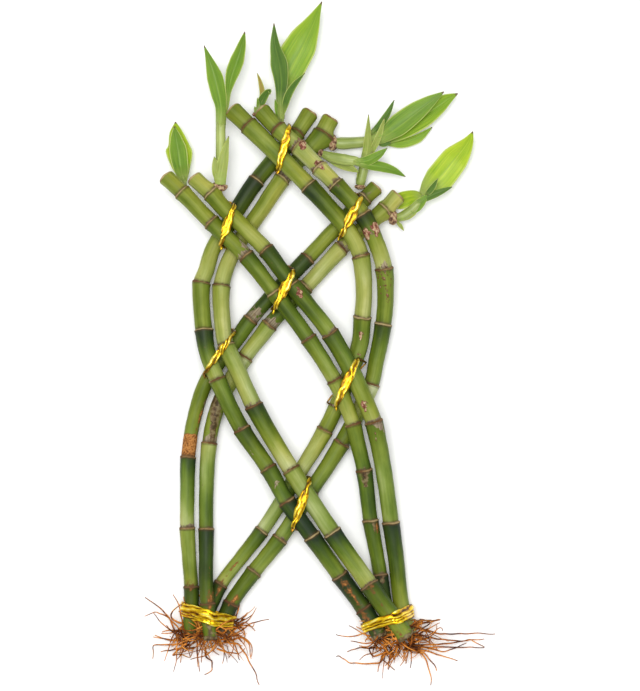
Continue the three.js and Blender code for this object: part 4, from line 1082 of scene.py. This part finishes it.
# %% Leaves by shoot
LEAVES = {
    "far_left_outer": [
        ([(-81.6, 98.5, 10.4), (-83, 108, 9.6), (-84.6, 119, 8.8), (-86.8, 134.3, 11)],
         ([(0, 1.6), (0.3, 6.6), (0.55, 8.4), (0.62, 6.4), (0.82, 4.6), (1, 0.2)],
          [(0, 1.6), (0.25, 5.2), (0.48, 7.4), (0.6, 6.2), (0.85, 3), (1, 0.2)]),
         leaf_bright, 0.4, 0.1, 1.4),
        ([(-81.8, 98, 12), (-84, 108, 12.2), (-85.4, 118, 12.4), (-87.4, 131.5, 12.8)],
         ([(0, 1.8), (0.25, 4.2), (0.55, 5.2), (0.8, 3.4), (1, 0.2)],
          [(0, 1.8), (0.25, 4.8), (0.55, 5.4), (0.8, 3.2), (1, 0.2)]),
         leaf_green, 0.9, 0.35, 0.6),
    ],
    "far_left_inner": [
        ([(-59.5, 128, 21), (-59.3, 142.5, 22), (-61.2, 153.2, 23), (-62.9, 160.5, 23.4),
          (-65.8, 169.5, 23.8), (-69.3, 179.4, 22.4)],
         [(0, 2.5), (0.08, 2.9), (0.22, 3.1), (0.31, 3.5), (0.4, 4.3), (0.5, 4.7), (0.6, 4.8),
          (0.7, 3.9), (0.8, 2.6), (0.9, 1.3), (1, 0.15)],
         leaf_green, -2.4, 0.5, 0.3),
        ([(-57.4, 138, 20.6), (-55.6, 146, 20.8), (-54.4, 154.5, 20.6), (-52.8, 161.7, 20.3),
          (-49.8, 170.1, 20), (-47.2, 178.5, 19.8), (-45, 187.9, 20)],
         [(0, 1.5), (0.23, 1.4), (0.33, 2.3), (0.44, 3.5), (0.54, 4.2), (0.64, 4.2), (0.74, 3.4),
          (0.84, 2.5), (0.93, 1.3), (1, 0.15)],
         leaf_green, 0.6, 0.5, 0.4),
        ([(-59.6, 97, 20.6), (-58.8, 104, 22.4), (-57.2, 114, 23.4), (-54.6, 125.2, 23.6)],
         ([(0, 3.2), (0.2, 3.6), (0.5, 3.2), (0.8, 1.6), (1, 0.2)],
          [(0, 3), (0.2, 3.2), (0.5, 3), (0.8, 1.5), (1, 0.2)]),
         leaf_sheath, -0.9, 0.2, 0.2),
        ([(-61.2, 97.4, 20.6), (-62, 104, 22.4), (-63.2, 113, 23)],
         2.5, leaf_sheath, -1, 0.2, 0.2),
    ],
    "mid_left_outer": [
        ([(-36.6, 141, 12.4), (-34.6, 151, 12.8), (-36, 158.5, 13), (-37.8, 163.6, 13.4)],
         1.6, leaf_dry, 0.8, 0.3, 0.6),
        ([(-37.2, 140, 12), (-34.8, 147, 13), (-32, 151.4, 14.6), (-30.2, 152.8, 15.8),
          (-30, 150.4, 16.8)],
         2.5, leaf_dark, 1, 0.4, 0.6),
        ([(-37.6, 140.6, 12.6), (-37.2, 145, 13.2), (-37.6, 148.6, 14)],
         0.9, leaf_green, 0.3, 0.3, 0.6),
        ([(-38.2, 140, 12.4), (-38.8, 141.8, 12.8), (-39.2, 143.4, 13)],
         0.8, leaf_green, 0.3, 0.3, 0.6),
    ],
    "mid_left_inner": [
        ([(-23.8, 136, 14), (-23.5, 149.1, 15.6), (-23.4, 159.3, 17), (-24.8, 170.1, 18.2),
          (-27, 180.3, 18.6), (-27.6, 193, 18)],
         [(0, 2.4), (0.23, 2.8), (0.41, 4.2), (0.56, 5.1), (0.7, 3.6), (0.82, 2.3), (1, 0.15)],
         leaf_dark, -2, 0.8, 0.3),
        ([(-22.8, 146, 14), (-19.8, 160.5, 12.6), (-10.2, 180.3, 12.6), (-3.4, 194, 14.6),
          (1.2, 206.1, 17)],
         ([(0, 2.2), (0.2, 6.4), (0.4, 11.4), (0.6, 10), (0.78, 6), (0.91, 2.6), (1, 0.2)],
          [(0, 2.2), (0.2, 6.6), (0.35, 8.6), (0.52, 8.6), (0.7, 5.6), (0.87, 2), (1, 0.2)]),
         leaf_young, 0.9, 0.12, 0.8),
        ([(-22.8, 137, 15), (-21.2, 143, 16.2), (-19, 150, 17.4), (-15.4, 156, 18.8),
          (-9.2, 163, 20)],
         2.2, leaf_dark, 1.2, 0.5, 0.2),
        ([(-23.8, 133.4, 13.6), (-25.2, 140, 15.2), (-27, 147.6, 16.4)],
         1.7, leaf_green, 1.2, 0.3, 0.2),
    ],
    "mid_right_outer": [
        ([(30, 122.8, 6.4), (37.8, 125, 7.4), (56, 138.2, 10.4), (74.4, 152.3, 12)],
         ([(0, 2.8), (0.17, 5.4), (0.4, 7.5), (0.6, 6.8), (0.8, 4.4), (0.93, 1.8), (1, 0.2)],
          [(0, 2.4), (0.17, 3.4), (0.4, 5.6), (0.6, 5), (0.8, 3), (0.93, 1.2), (1, 0.2)]),
         leaf_green, -1.4, 0.2, 0.4),
        ([(33, 123, 5.2), (45, 127.6, 5.4), (62.3, 138.7, 6.8), (82.8, 151.4, 9)],
         ([(0, 2), (0.3, 4.6), (0.55, 5), (0.84, 4.3), (0.95, 1.8), (1, 0.2)],
          [(0, 2), (0.35, 6.4), (0.55, 7.3), (0.76, 5.2), (0.92, 1.8), (1, 0.2)]),
         leaf_young, 0.9, 0.25, 0.6),
        ([(36, 123.2, 4.6), (50, 123.2, 3.2), (60, 127, 3), (67.5, 131.5, 3)],
         ([(0, 1), (0.4, 1.2), (0.8, 0.8), (1, 0.15)],
          [(0, 1.4), (0.4, 4.2), (0.66, 4.4), (0.86, 2.2), (1, 0.2)]),
         leaf_young, 0.7, 0.1, 0.3),
        ([(27, 124.8, 6.4), (34.2, 130.5, 8), (40.2, 138.6, 11), (44.6, 147.4, 13.4)],
         2.1, leaf_dark, -1.2, 0.5, 0.2),
        ([(34, 122.4, 6.8), (38.5, 121.4, 7.2), (42.6, 121.8, 7.4)],
         2, leaf_dark, -1, 0.2, 0.2),
    ],
    "mid_right_inner": [
        ([(20, 110.6, 14.6), (27.6, 110.6, 16.2), (34.2, 113.7, 17.4), (40.3, 118.2, 18.6)],
         2.9, leaf_green, -1.5, 0.4, 0.3),
        ([(20, 109.6, 14.4), (28, 108.4, 15), (36, 107.4, 14.6), (44.4, 105, 13),
          (51.3, 101.4, 10)],
         3, leaf_green, -1.5, 0.5, 0.4),
        ([(4, 112.4, 9), (12, 109.2, 10.8), (18, 106.6, 12.4), (23.6, 103.8, 13.8)],
         2.8, leaf_sheath, 0.8, 0.2, 0.2),
    ],
    "far_right_inner": [
        ([(27.2, 111, 9.6), (28.4, 118, 11.2), (28.8, 127, 12.4), (29.1, 138.6, 13.2)],
         [(0, 2.8), (0.3, 2.6), (0.6, 1.7), (0.8, 0.9), (1, 0.12)],
         leaf_sheath, -2, 0.6, 0.2),
        ([(28.4, 112, 9.4), (31.8, 118, 10.4), (35.4, 126, 11.6), (38.8, 136.5, 12.6)],
         1.9, leaf_sheath, 1.2, 0.4, 0.2),
        ([(24.6, 97, 8.2), (23.4, 101, 9.2), (22.4, 104, 9.8)],
         1.3, leaf_sheath, 1, 0.3, 0.6),
    ],
    "far_right_outer": [
        ([(61.5, 90.5, 10), (66, 94.5, 9.5), (72, 100.5, 9), (80.2, 110.9, 9.5), (88.5, 121.6, 12),
          (91.7, 128.4, 14)],
         ([(0, 2.5), (0.12, 6.2), (0.3, 8.8), (0.57, 8.4), (0.7, 6.6), (0.85, 3.6), (1, 0.2)],
          [(0, 2.5), (0.12, 5.8), (0.3, 8.6), (0.57, 8.2), (0.7, 6.6), (0.85, 3.6), (1, 0.2)]),
         leaf_bright, 0.5, 0.1, 0.8),
        ([(56, 83.2, 9.6), (62.4, 88.2, 11), (70, 91.4, 12.4), (79.4, 95.2, 13.2)],
         2.4, leaf_dark, -1.8, 0.5, 0.3),
        ([(62.4, 89, 11.2), (66.6, 93.6, 12.6), (70.8, 100.2, 13.8)],
         1.8, leaf_dark, 0.9, 0.4, 0.2),
        ([(47, 75.6, 8), (53, 79.4, 8.8), (60.4, 84.4, 10.6)],
         3.4, leaf_sheath, -1.8, 0.2, 0.4),
        ([(52.6, 79, 9), (58.6, 84, 10.2), (64.6, 90.6, 12)],
         3.1, leaf_green, -1.8, 0.2, 0.4),
        ([(46, 74.6, 8), (48.6, 71.6, 8.2), (50.4, 69, 8.2)],
         1.1, leaf_sheath, 0.8, 0.3, 0.1),
        ([(61.6, 89, 8.4), (56, 90, 4), (47, 87.2, 1.6), (35.4, 86.1, 1.4)],
         ([(0, 2), (0.25, 4.4), (0.5, 5.6), (0.8, 3), (1, 0.2)],
          [(0, 2), (0.25, 3.4), (0.5, 4.6), (0.8, 2.6), (1, 0.2)]),
         leaf_bright, 0.4, 0.05, 0.3),
    ],
}
print("leaves", sum(len(leaves) for leaves in LEAVES.values()))

# %% [markdown]
# The stem, the collar and the leaves of a shoot are joined, so that each shoot is one
# piece like its node.

# %% Build the shoots
for name, stem in STEMS.items():
    pieces = [soft_stem("stem_" + name, stem, FLATNESS.get(name, 1))]
    if name in COLLARS:
        pieces.append(bud_collar("collar_" + name, *COLLARS[name]))
    for i, leaf in enumerate(LEAVES[name]):
        pieces.append(leaf_blade(f"leaf_{name}_{i}", *leaf))
    select_only(pieces[0])
    for piece in pieces:
        piece.select_set(True)
    bpy.ops.object.join()
    foliage = new_piece("foliage_" + name)
    finish_piece(foliage, None, "shoot_" + name)
    print(foliage.name, "pieces", len(pieces), "vertices", len(foliage.data.vertices))

# %% [markdown]
# The ties already have their path in the CAD model, so each is copied from there. The
# copy's loose triangles are merged first, and it is cut finer. The foil is gathered in
# two or three long pleats that run along the strip. A vertex group holds the height of
# the pleats, and a Displace modifier lifts them. Where the foil lies on the table it
# stays flat, and where it turns down between two canes it is creased. The colour gets
# painted light from the fold attribute: a painted sheen on the ridges of the pleats,
# painted shade in their valleys, and more painted shade by height where the foil turns
# down between two canes. OFF_TABLE and TUCKED_IN say how free the foil is, and the
# three lists after them how far painted shade darkens it. SHIFT moves the pleats on
# from tie to tie, so that no two look alike.

# %% Foil ties
FOIL_LEANS = {"tie_foot_left": -13, "tie_foot_right": 17}
CROSSING_LEAN = 67
PLEAT, PLEAT_LIFT = 2.3, 0.7
# Painted shade: a pleat's valley keeps this share of the foil's full brightness.
VALLEY_SHADE = 0.4
MERGE = 0.02
FOOT_CUTS, CROSSING_CUTS = 3, 5
CRUMPLE = 0.9
SHIFT = 0.7
OFF_TABLE = [(1.5, 0.0), (5, 1.0)]
TUCKED_IN = [(8, 0.0), (16, 1.0)]
# Painted shade by height, as a share of full brightness. At the crossings the foil is darkest from
# 17 to 20 mm high, where it turns down between two canes, the tucked tie is as dark everywhere
# below 20 mm, and the foil at the feet gets none.
CREASE_SHADE = [(6, 1.0), (14, 0.3), (17, 0.05), (20, 0.05), (22.5, 1.0)]
TUCKED_SHADE = CREASE_SHADE[-2:]
UNSHADED = [(0, 1.0)]
crumple = cloud_texture("foil_crumple", 6)


def pleat_height(point, lean, start):
    """From 0 in a valley to 1 on a ridge"""
    turn = math.radians(lean)
    onward = (point.x * math.cos(turn) + point.y * math.sin(turn)) / MM
    across = (point.y * math.cos(turn) - point.x * math.sin(turn)) / MM
    drift = 0.35 * math.sin(onward * 0.25 + start) + 0.14 * math.sin(onward * 0.8 + 2 * start)
    share = (across / PLEAT + 0.3 * math.sin(across * 0.9 + start) + drift + start) % 1
    return abs(share * 2 - 1)


def crumpled_foil(node, lean, material, cuts, start, loose, shade_by_height):
    select_only(node)
    bpy.ops.object.duplicate()
    foil = new_piece(node.name.replace("tie_", "foil_"))
    edit_all()
    bpy.ops.mesh.remove_doubles(threshold=MERGE * MM)
    bpy.ops.mesh.subdivide(number_cuts=cuts)
    back_to_object()
    pleats = foil.vertex_groups.new(name="pleats")
    free = foil.vertex_groups.new(name="free")
    for vertex in foil.data.vertices:
        above = between(loose, vertex.co.z / MM)
        pleats.add([vertex.index], above * pleat_height(vertex.co, lean, start), "REPLACE")
        free.add([vertex.index], above, "REPLACE")

    # Painted sheen and shade on the foil: brighter on the pleat ridges, darker in the valleys, and
    # darker again by height where the foil turns down between two canes.
    def painted_sheen_and_shade(vertex):
        height = vertex.co.z / MM
        ridge_sheen = between(loose, height) * (pleat_height(vertex.co, lean, start) - VALLEY_SHADE)
        return (VALLEY_SHADE + ridge_sheen) * between(shade_by_height, height)

    paint(foil, "fold", painted_sheen_and_shade)
    lift = foil.modifiers.new("pleats", "DISPLACE")
    lift.vertex_group = "pleats"
    lift.mid_level = 0
    lift.strength = PLEAT_LIFT * MM
    displace(foil, "crumple", crumple, CRUMPLE, "NORMAL").vertex_group = "free"
    apply_modifiers(foil)
    smooth(foil, 50)
    finish_piece(foil, material, node.name)
    print(foil.name, "faces", len(foil.data.polygons))


crossing_gold = foil_material("foil_gold", CROSSING_LEAN, dull=0.3)
for i, (name, node) in enumerate(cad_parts.items()):
    start = i * SHIFT
    if name in FOIL_LEANS:
        lean = FOIL_LEANS[name]
        gold = foil_material("foil_" + name[4:], lean)
        crumpled_foil(node, lean, gold, FOOT_CUTS, start, OFF_TABLE, UNSHADED)
    elif name.startswith("tie_"):
        tucked = name == "tie_right_lower"
        loose, shade_by_height = (TUCKED_IN, TUCKED_SHADE) if tucked else (OFF_TABLE, CREASE_SHADE)
        crumpled_foil(node, CROSSING_LEAN, crossing_gold, CROSSING_CUTS, start, loose, shade_by_height)

# %% [markdown]
# Roots are thin, many and tangled. Each is a curve with a round bevel whose radius
# shrinks towards the tip, and all the roots of one foot are one curve object that is
# made a mesh at the end. The longest follow the real ones, and many fine ones start
# near them and wander, from a seeded random draw so that each run is the same.

# %% Roots by foot
ROOTS = {
    "roots_left": {
        "canes": ["far_right_inner", "far_right_outer", "mid_left_outer", "mid_left_inner"],
        "climb": 10, "pull": (0.15, -0.5, -0.1), "pulled": 0.3, "long": 34, "short": 100,
        "box": ((-105.5, -30.6), (-204.5, -149.5), (0.9, 17)),
    },
    "roots_right": {
        "canes": ["far_left_outer", "far_left_inner", "mid_right_inner", "mid_right_outer"],
        "climb": 9, "pull": (1, 0, -0.1), "pulled": 0.4, "long": 36, "short": 90,
        "box": ((9.7, 105.5), (-204.5, -165), (0.9, 19)),
    },
}
STRANDS = {
    "roots_left": [
        [(-80, -181, 6), (-86, -175.5, 5), (-89.4, -165.9, 4), (-94.8, -158.7, 3),
         (-106, -151.5, 2)],
        [(-78, -178, 9), (-91.2, -163.5, 9), (-99, -159.5, 7), (-105.6, -162.9, 5)],
        [(-80, -178, 11), (-83.4, -161.7, 14), (-84.6, -154.5, 14), (-88.2, -149.1, 12)],
        [(-78, -178, 4), (-93, -177.3, 3), (-99.6, -174.3, 2)],
        [(-78, -180, 7), (-96, -179.7, 5), (-100.8, -181, 3), (-99.6, -185.1, 2),
         (-100.8, -188.7, 1.4)],
        [(-76, -182, 5), (-87, -182.7, 3), (-96, -184.5, 1.4)],
        [(-80, -179, 12), (-89.4, -186.3, 9), (-84, -185.7, 8), (-78, -187.5, 8), (-76, -181, 7)],
        [(-69, -182, 6), (-69, -187, 4), (-64.8, -190, 2.4), (-65, -196, 1.4),
         (-69.6, -198.3, 1.4)],
        [(-58, -178, 6), (-49.2, -179.7, 5), (-44.4, -186.9, 3), (-39.6, -195.3, 1.6),
         (-36.6, -205.4, 1.4)],
        [(-58, -178, 9), (-47, -174.8, 8), (-42.6, -179.7, 6), (-41.4, -188.7, 4)],
        [(-58, -177, 11), (-48, -171.9, 11), (-42, -167.1, 9), (-30.6, -164.7, 6)],
        [(-57, -177, 5), (-50.4, -170, 5), (-45, -165.9, 3), (-39, -171.9, 1.6)],
        [(-62, -182, 11), (-56, -184, 9), (-48, -186, 7), (-45, -182, 6)],
    ],
    "roots_right": [
        [(54, -178, 14), (63, -170.7, 12), (72, -173.7, 8), (84, -173.1, 5), (106.2, -173.7, 2)],
        [(54, -179, 10), (66, -175.5, 9), (81, -177.9, 6), (99, -176.7, 2)],
        [(54, -180, 7), (70, -180, 5), (90, -177, 3), (99, -181.5, 1.4)],
        [(53, -181, 5), (70, -182, 3), (87, -181.5, 2), (99, -182, 1.4)],
        [(52, -182, 9), (63, -181.5, 8), (75, -184.5, 5), (88.2, -179.1, 3)],
        [(52, -182, 4), (66, -184.5, 2), (82.8, -189.9, 1.4)],
        [(51, -182, 6), (61.2, -183.6, 5), (69.6, -192.9, 2), (70.2, -196, 1.4)],
        [(50, -183, 8), (60, -184, 6), (64, -190, 4), (67.2, -199.5, 2), (66.6, -205.4, 1.4)],
        [(46, -184, 6), (42.6, -186, 4), (40.8, -194.7, 1.6)],
        [(40, -182, 12), (30, -181.5, 9), (24, -181.5, 6), (16.2, -184.5, 3)],
        [(40, -183, 8), (36, -191, 6), (18, -191.1, 4), (10.8, -186.3, 2), (9.6, -187.5, 1.6)],
        [(41, -184, 10), (32, -187, 9), (29, -182, 10), (34, -180, 12), (38, -184, 12)],
        [(38, -180, 6), (30, -177, 4), (26, -171, 3), (22.2, -169.5, 2)],
        [(43, -184, 5), (36, -187.5, 3), (45, -195.5, 1.4)],
    ],
}
print("measured roots", [len(routes) for routes in STRANDS.values()])


# %% [markdown]
# A fine root leaves the foot of a cane, curls, and sinks to the table. It is laid step
# by step: it keeps most of its last bend, turns a little more, is pulled outwards, and
# sinks. A thick one follows its own points with small bends between them. Both stay
# inside the box that the CAD model's roots fill.


# %% Root helpers
KEPT_BEND, NEW_BEND = 0.94, 0.35
PULL, SINK = 0.12, Vector((0, 0, -0.08))
STEP = (1.6, 2.6)
BEND_EVERY, JOG = 3.5, 0.5
ALL_ROUND, UPPER_HALF = (0, 2 * math.pi), (-0.2, math.pi + 0.2)


def inside(point, box):
    return [min(max(v, low), high) for v, (low, high) in zip(point, box)]


def any_way(draw):
    return Vector((draw.uniform(-1, 1), draw.uniform(-1, 1), draw.uniform(-1, 1)))


def wandering_root(draw, plan, steps, curl):
    cane = CANES[draw.choice(plan["canes"])]
    foot = Vector(cane[0][:3])
    axis = (Vector(cane[1][:3]) - foot).normalized()
    angle = draw.uniform(*(ALL_ROUND if draw.random() < 0.5 else UPPER_HALF))
    side = axis.cross(Vector((0, 0, 1))).normalized()
    outward = side * math.cos(angle) + axis.cross(side) * math.sin(angle)
    spot = foot + axis * draw.uniform(-0.5, plan["climb"])
    spot += outward * cane[0][3] * draw.uniform(0.5, 1.0)
    pulled = draw.random() < plan["pulled"]
    pull = Vector(plan["pull"]) if pulled else Vector((outward.x, -0.5, -0.15))
    heading = (outward - axis * draw.uniform(0.2, 0.9) + pull * 0.5).normalized()
    bend = any_way(draw) * curl
    route = [tuple(spot)]
    for _ in range(steps):
        bend = (bend + any_way(draw) * curl * NEW_BEND) * KEPT_BEND
        heading = (heading + bend + pull * PULL + SINK).normalized()
        spot = Vector(inside(spot + heading * draw.uniform(*STEP), plan["box"]))
        route.append(tuple(spot))
    return route


def wavy(draw, route):
    bent = []
    for start, end in zip(route, route[1:]):
        steps = max(1, round(math.dist(start, end) / BEND_EVERY))
        for k in range(steps):
            jog = JOG if bent else 0
            spot = [a + (b - a) * k / steps for a, b in zip(start, end)]
            bent.append([v + draw.uniform(-jog, jog) for v in spot])
    return bent + [route[-1]]


def add_root(curve, route, thick, thin):
    spline = curve.splines.new("NURBS")
    spline.points.add(len(route) - 1)
    for i, (knot, point) in enumerate(zip(spline.points, route)):
        knot.co = (*metres(point), 1)
        knot.radius = thick + (thin - thick) * i / (len(route) - 1)
    spline.use_endpoint_u = True
    spline.order_u = 3


print("root helpers ready")

# %% [markdown]
# The thick roots are laid first, then long thin ones, and last the short curly ones
# that fill the tuft round the feet. A kind of fine root has the fewest and the most
# steps, its curl, the least and the most radius at its start, and the radius at its tip.

# %% Root tufts
THICK_ROOT = (0.66, 0.24)
FINE_ROOTS = {"long": (9, 15, 0.4, 0.38, 0.62, 0.14), "short": (6, 14, 1.0, 0.42, 0.72, 0.22)}
draw = random.Random(11)
for name, plan in ROOTS.items():
    select_only()
    bpy.ops.curve.primitive_nurbs_path_add(location=(0, 0, 0))
    roots = bpy.context.object.data
    roots.splines.clear()
    roots.bevel_depth = 1 * MM
    roots.bevel_resolution = 1
    roots.resolution_u = 3
    roots.use_fill_caps = True
    for route in STRANDS[name]:
        add_root(roots, [inside(p, plan["box"]) for p in wavy(draw, route)], *THICK_ROOT)
    for kind, (fewest, most, curl, thin, thick, tip) in FINE_ROOTS.items():
        for _ in range(plan[kind]):
            route = wandering_root(draw, plan, draw.randint(fewest, most), curl)
            add_root(roots, route, draw.uniform(thin, thick), tip)
    bpy.ops.object.convert(target="MESH")
    tangle = new_piece(name.replace("roots", "tangle"))
    smooth(tangle, 60)
    finish_piece(tangle, root_bark.material, name)
    print(tangle.name, "triangles", sum(len(p.vertices) - 2 for p in tangle.data.polygons))

# %% [markdown]
# The stage is a plain pale floor under soft studio light. The bunch lies down, so the
# camera looks straight down on it, from far away through a long lens, as the flat look
# of the photograph asks.

# %% Floor and light
floor_white = Finish("floor_white")
floor_white.wear(Base_Color=(0.95, 0.95, 0.95), Roughness=0.9)
FLOOR_SIZE, FLOOR_GAP = 8, 0.2
select_only()
bpy.ops.mesh.primitive_plane_add(size=FLOOR_SIZE, location=(0, 0, -FLOOR_GAP * MM))
floor = new_piece("floor")
floor.data.materials.append(floor_white.material)

world = bpy.context.scene.world or bpy.data.worlds.new("studio")
bpy.context.scene.world = world
world.use_nodes = True
WORLD_LIGHT = 0.66
background = world.node_tree.nodes["Background"].inputs
background["Color"].default_value = (1, 1, 1, 1)
background["Strength"].default_value = WORLD_LIGHT

OVERHEAD = Vector((-0.2, 0.25, 2.4))
LAMP_SIZE, LAMP_POWER = 1.3, 48
bpy.ops.object.light_add(type="AREA", location=OVERHEAD)
lamp = new_piece("overhead")
lamp.data.size = LAMP_SIZE
lamp.data.energy = LAMP_POWER
lamp.rotation_euler = (-OVERHEAD).to_track_quat("-Z", "Y").to_euler()
print("lamp", lamp.name, lamp.data.energy, "W")

# %% [markdown]
# The camera's lens makes one pixel of the picture 0.6 mm wide at the middle height of
# the bunch, which is the scale that the model was measured at.

# %% Camera
CAMERA_HEIGHT = 3.0
MIDDLE_HEIGHT = 13 * MM
SENSOR = 36
PHOTO_WIDTH = 640
PIXEL = 0.6 * MM
bpy.ops.object.camera_add(location=(0, 0, CAMERA_HEIGHT + MIDDLE_HEIGHT), rotation=(0, 0, 0))
camera = bpy.context.object
camera.data.sensor_fit = "HORIZONTAL"
camera.data.sensor_width = SENSOR
camera.data.lens = SENSOR * CAMERA_HEIGHT / (PHOTO_WIDTH * PIXEL)
bpy.context.scene.camera = camera
bpy.context.scene.view_settings.view_transform = "Standard"
print("lens mm", round(camera.data.lens, 1))
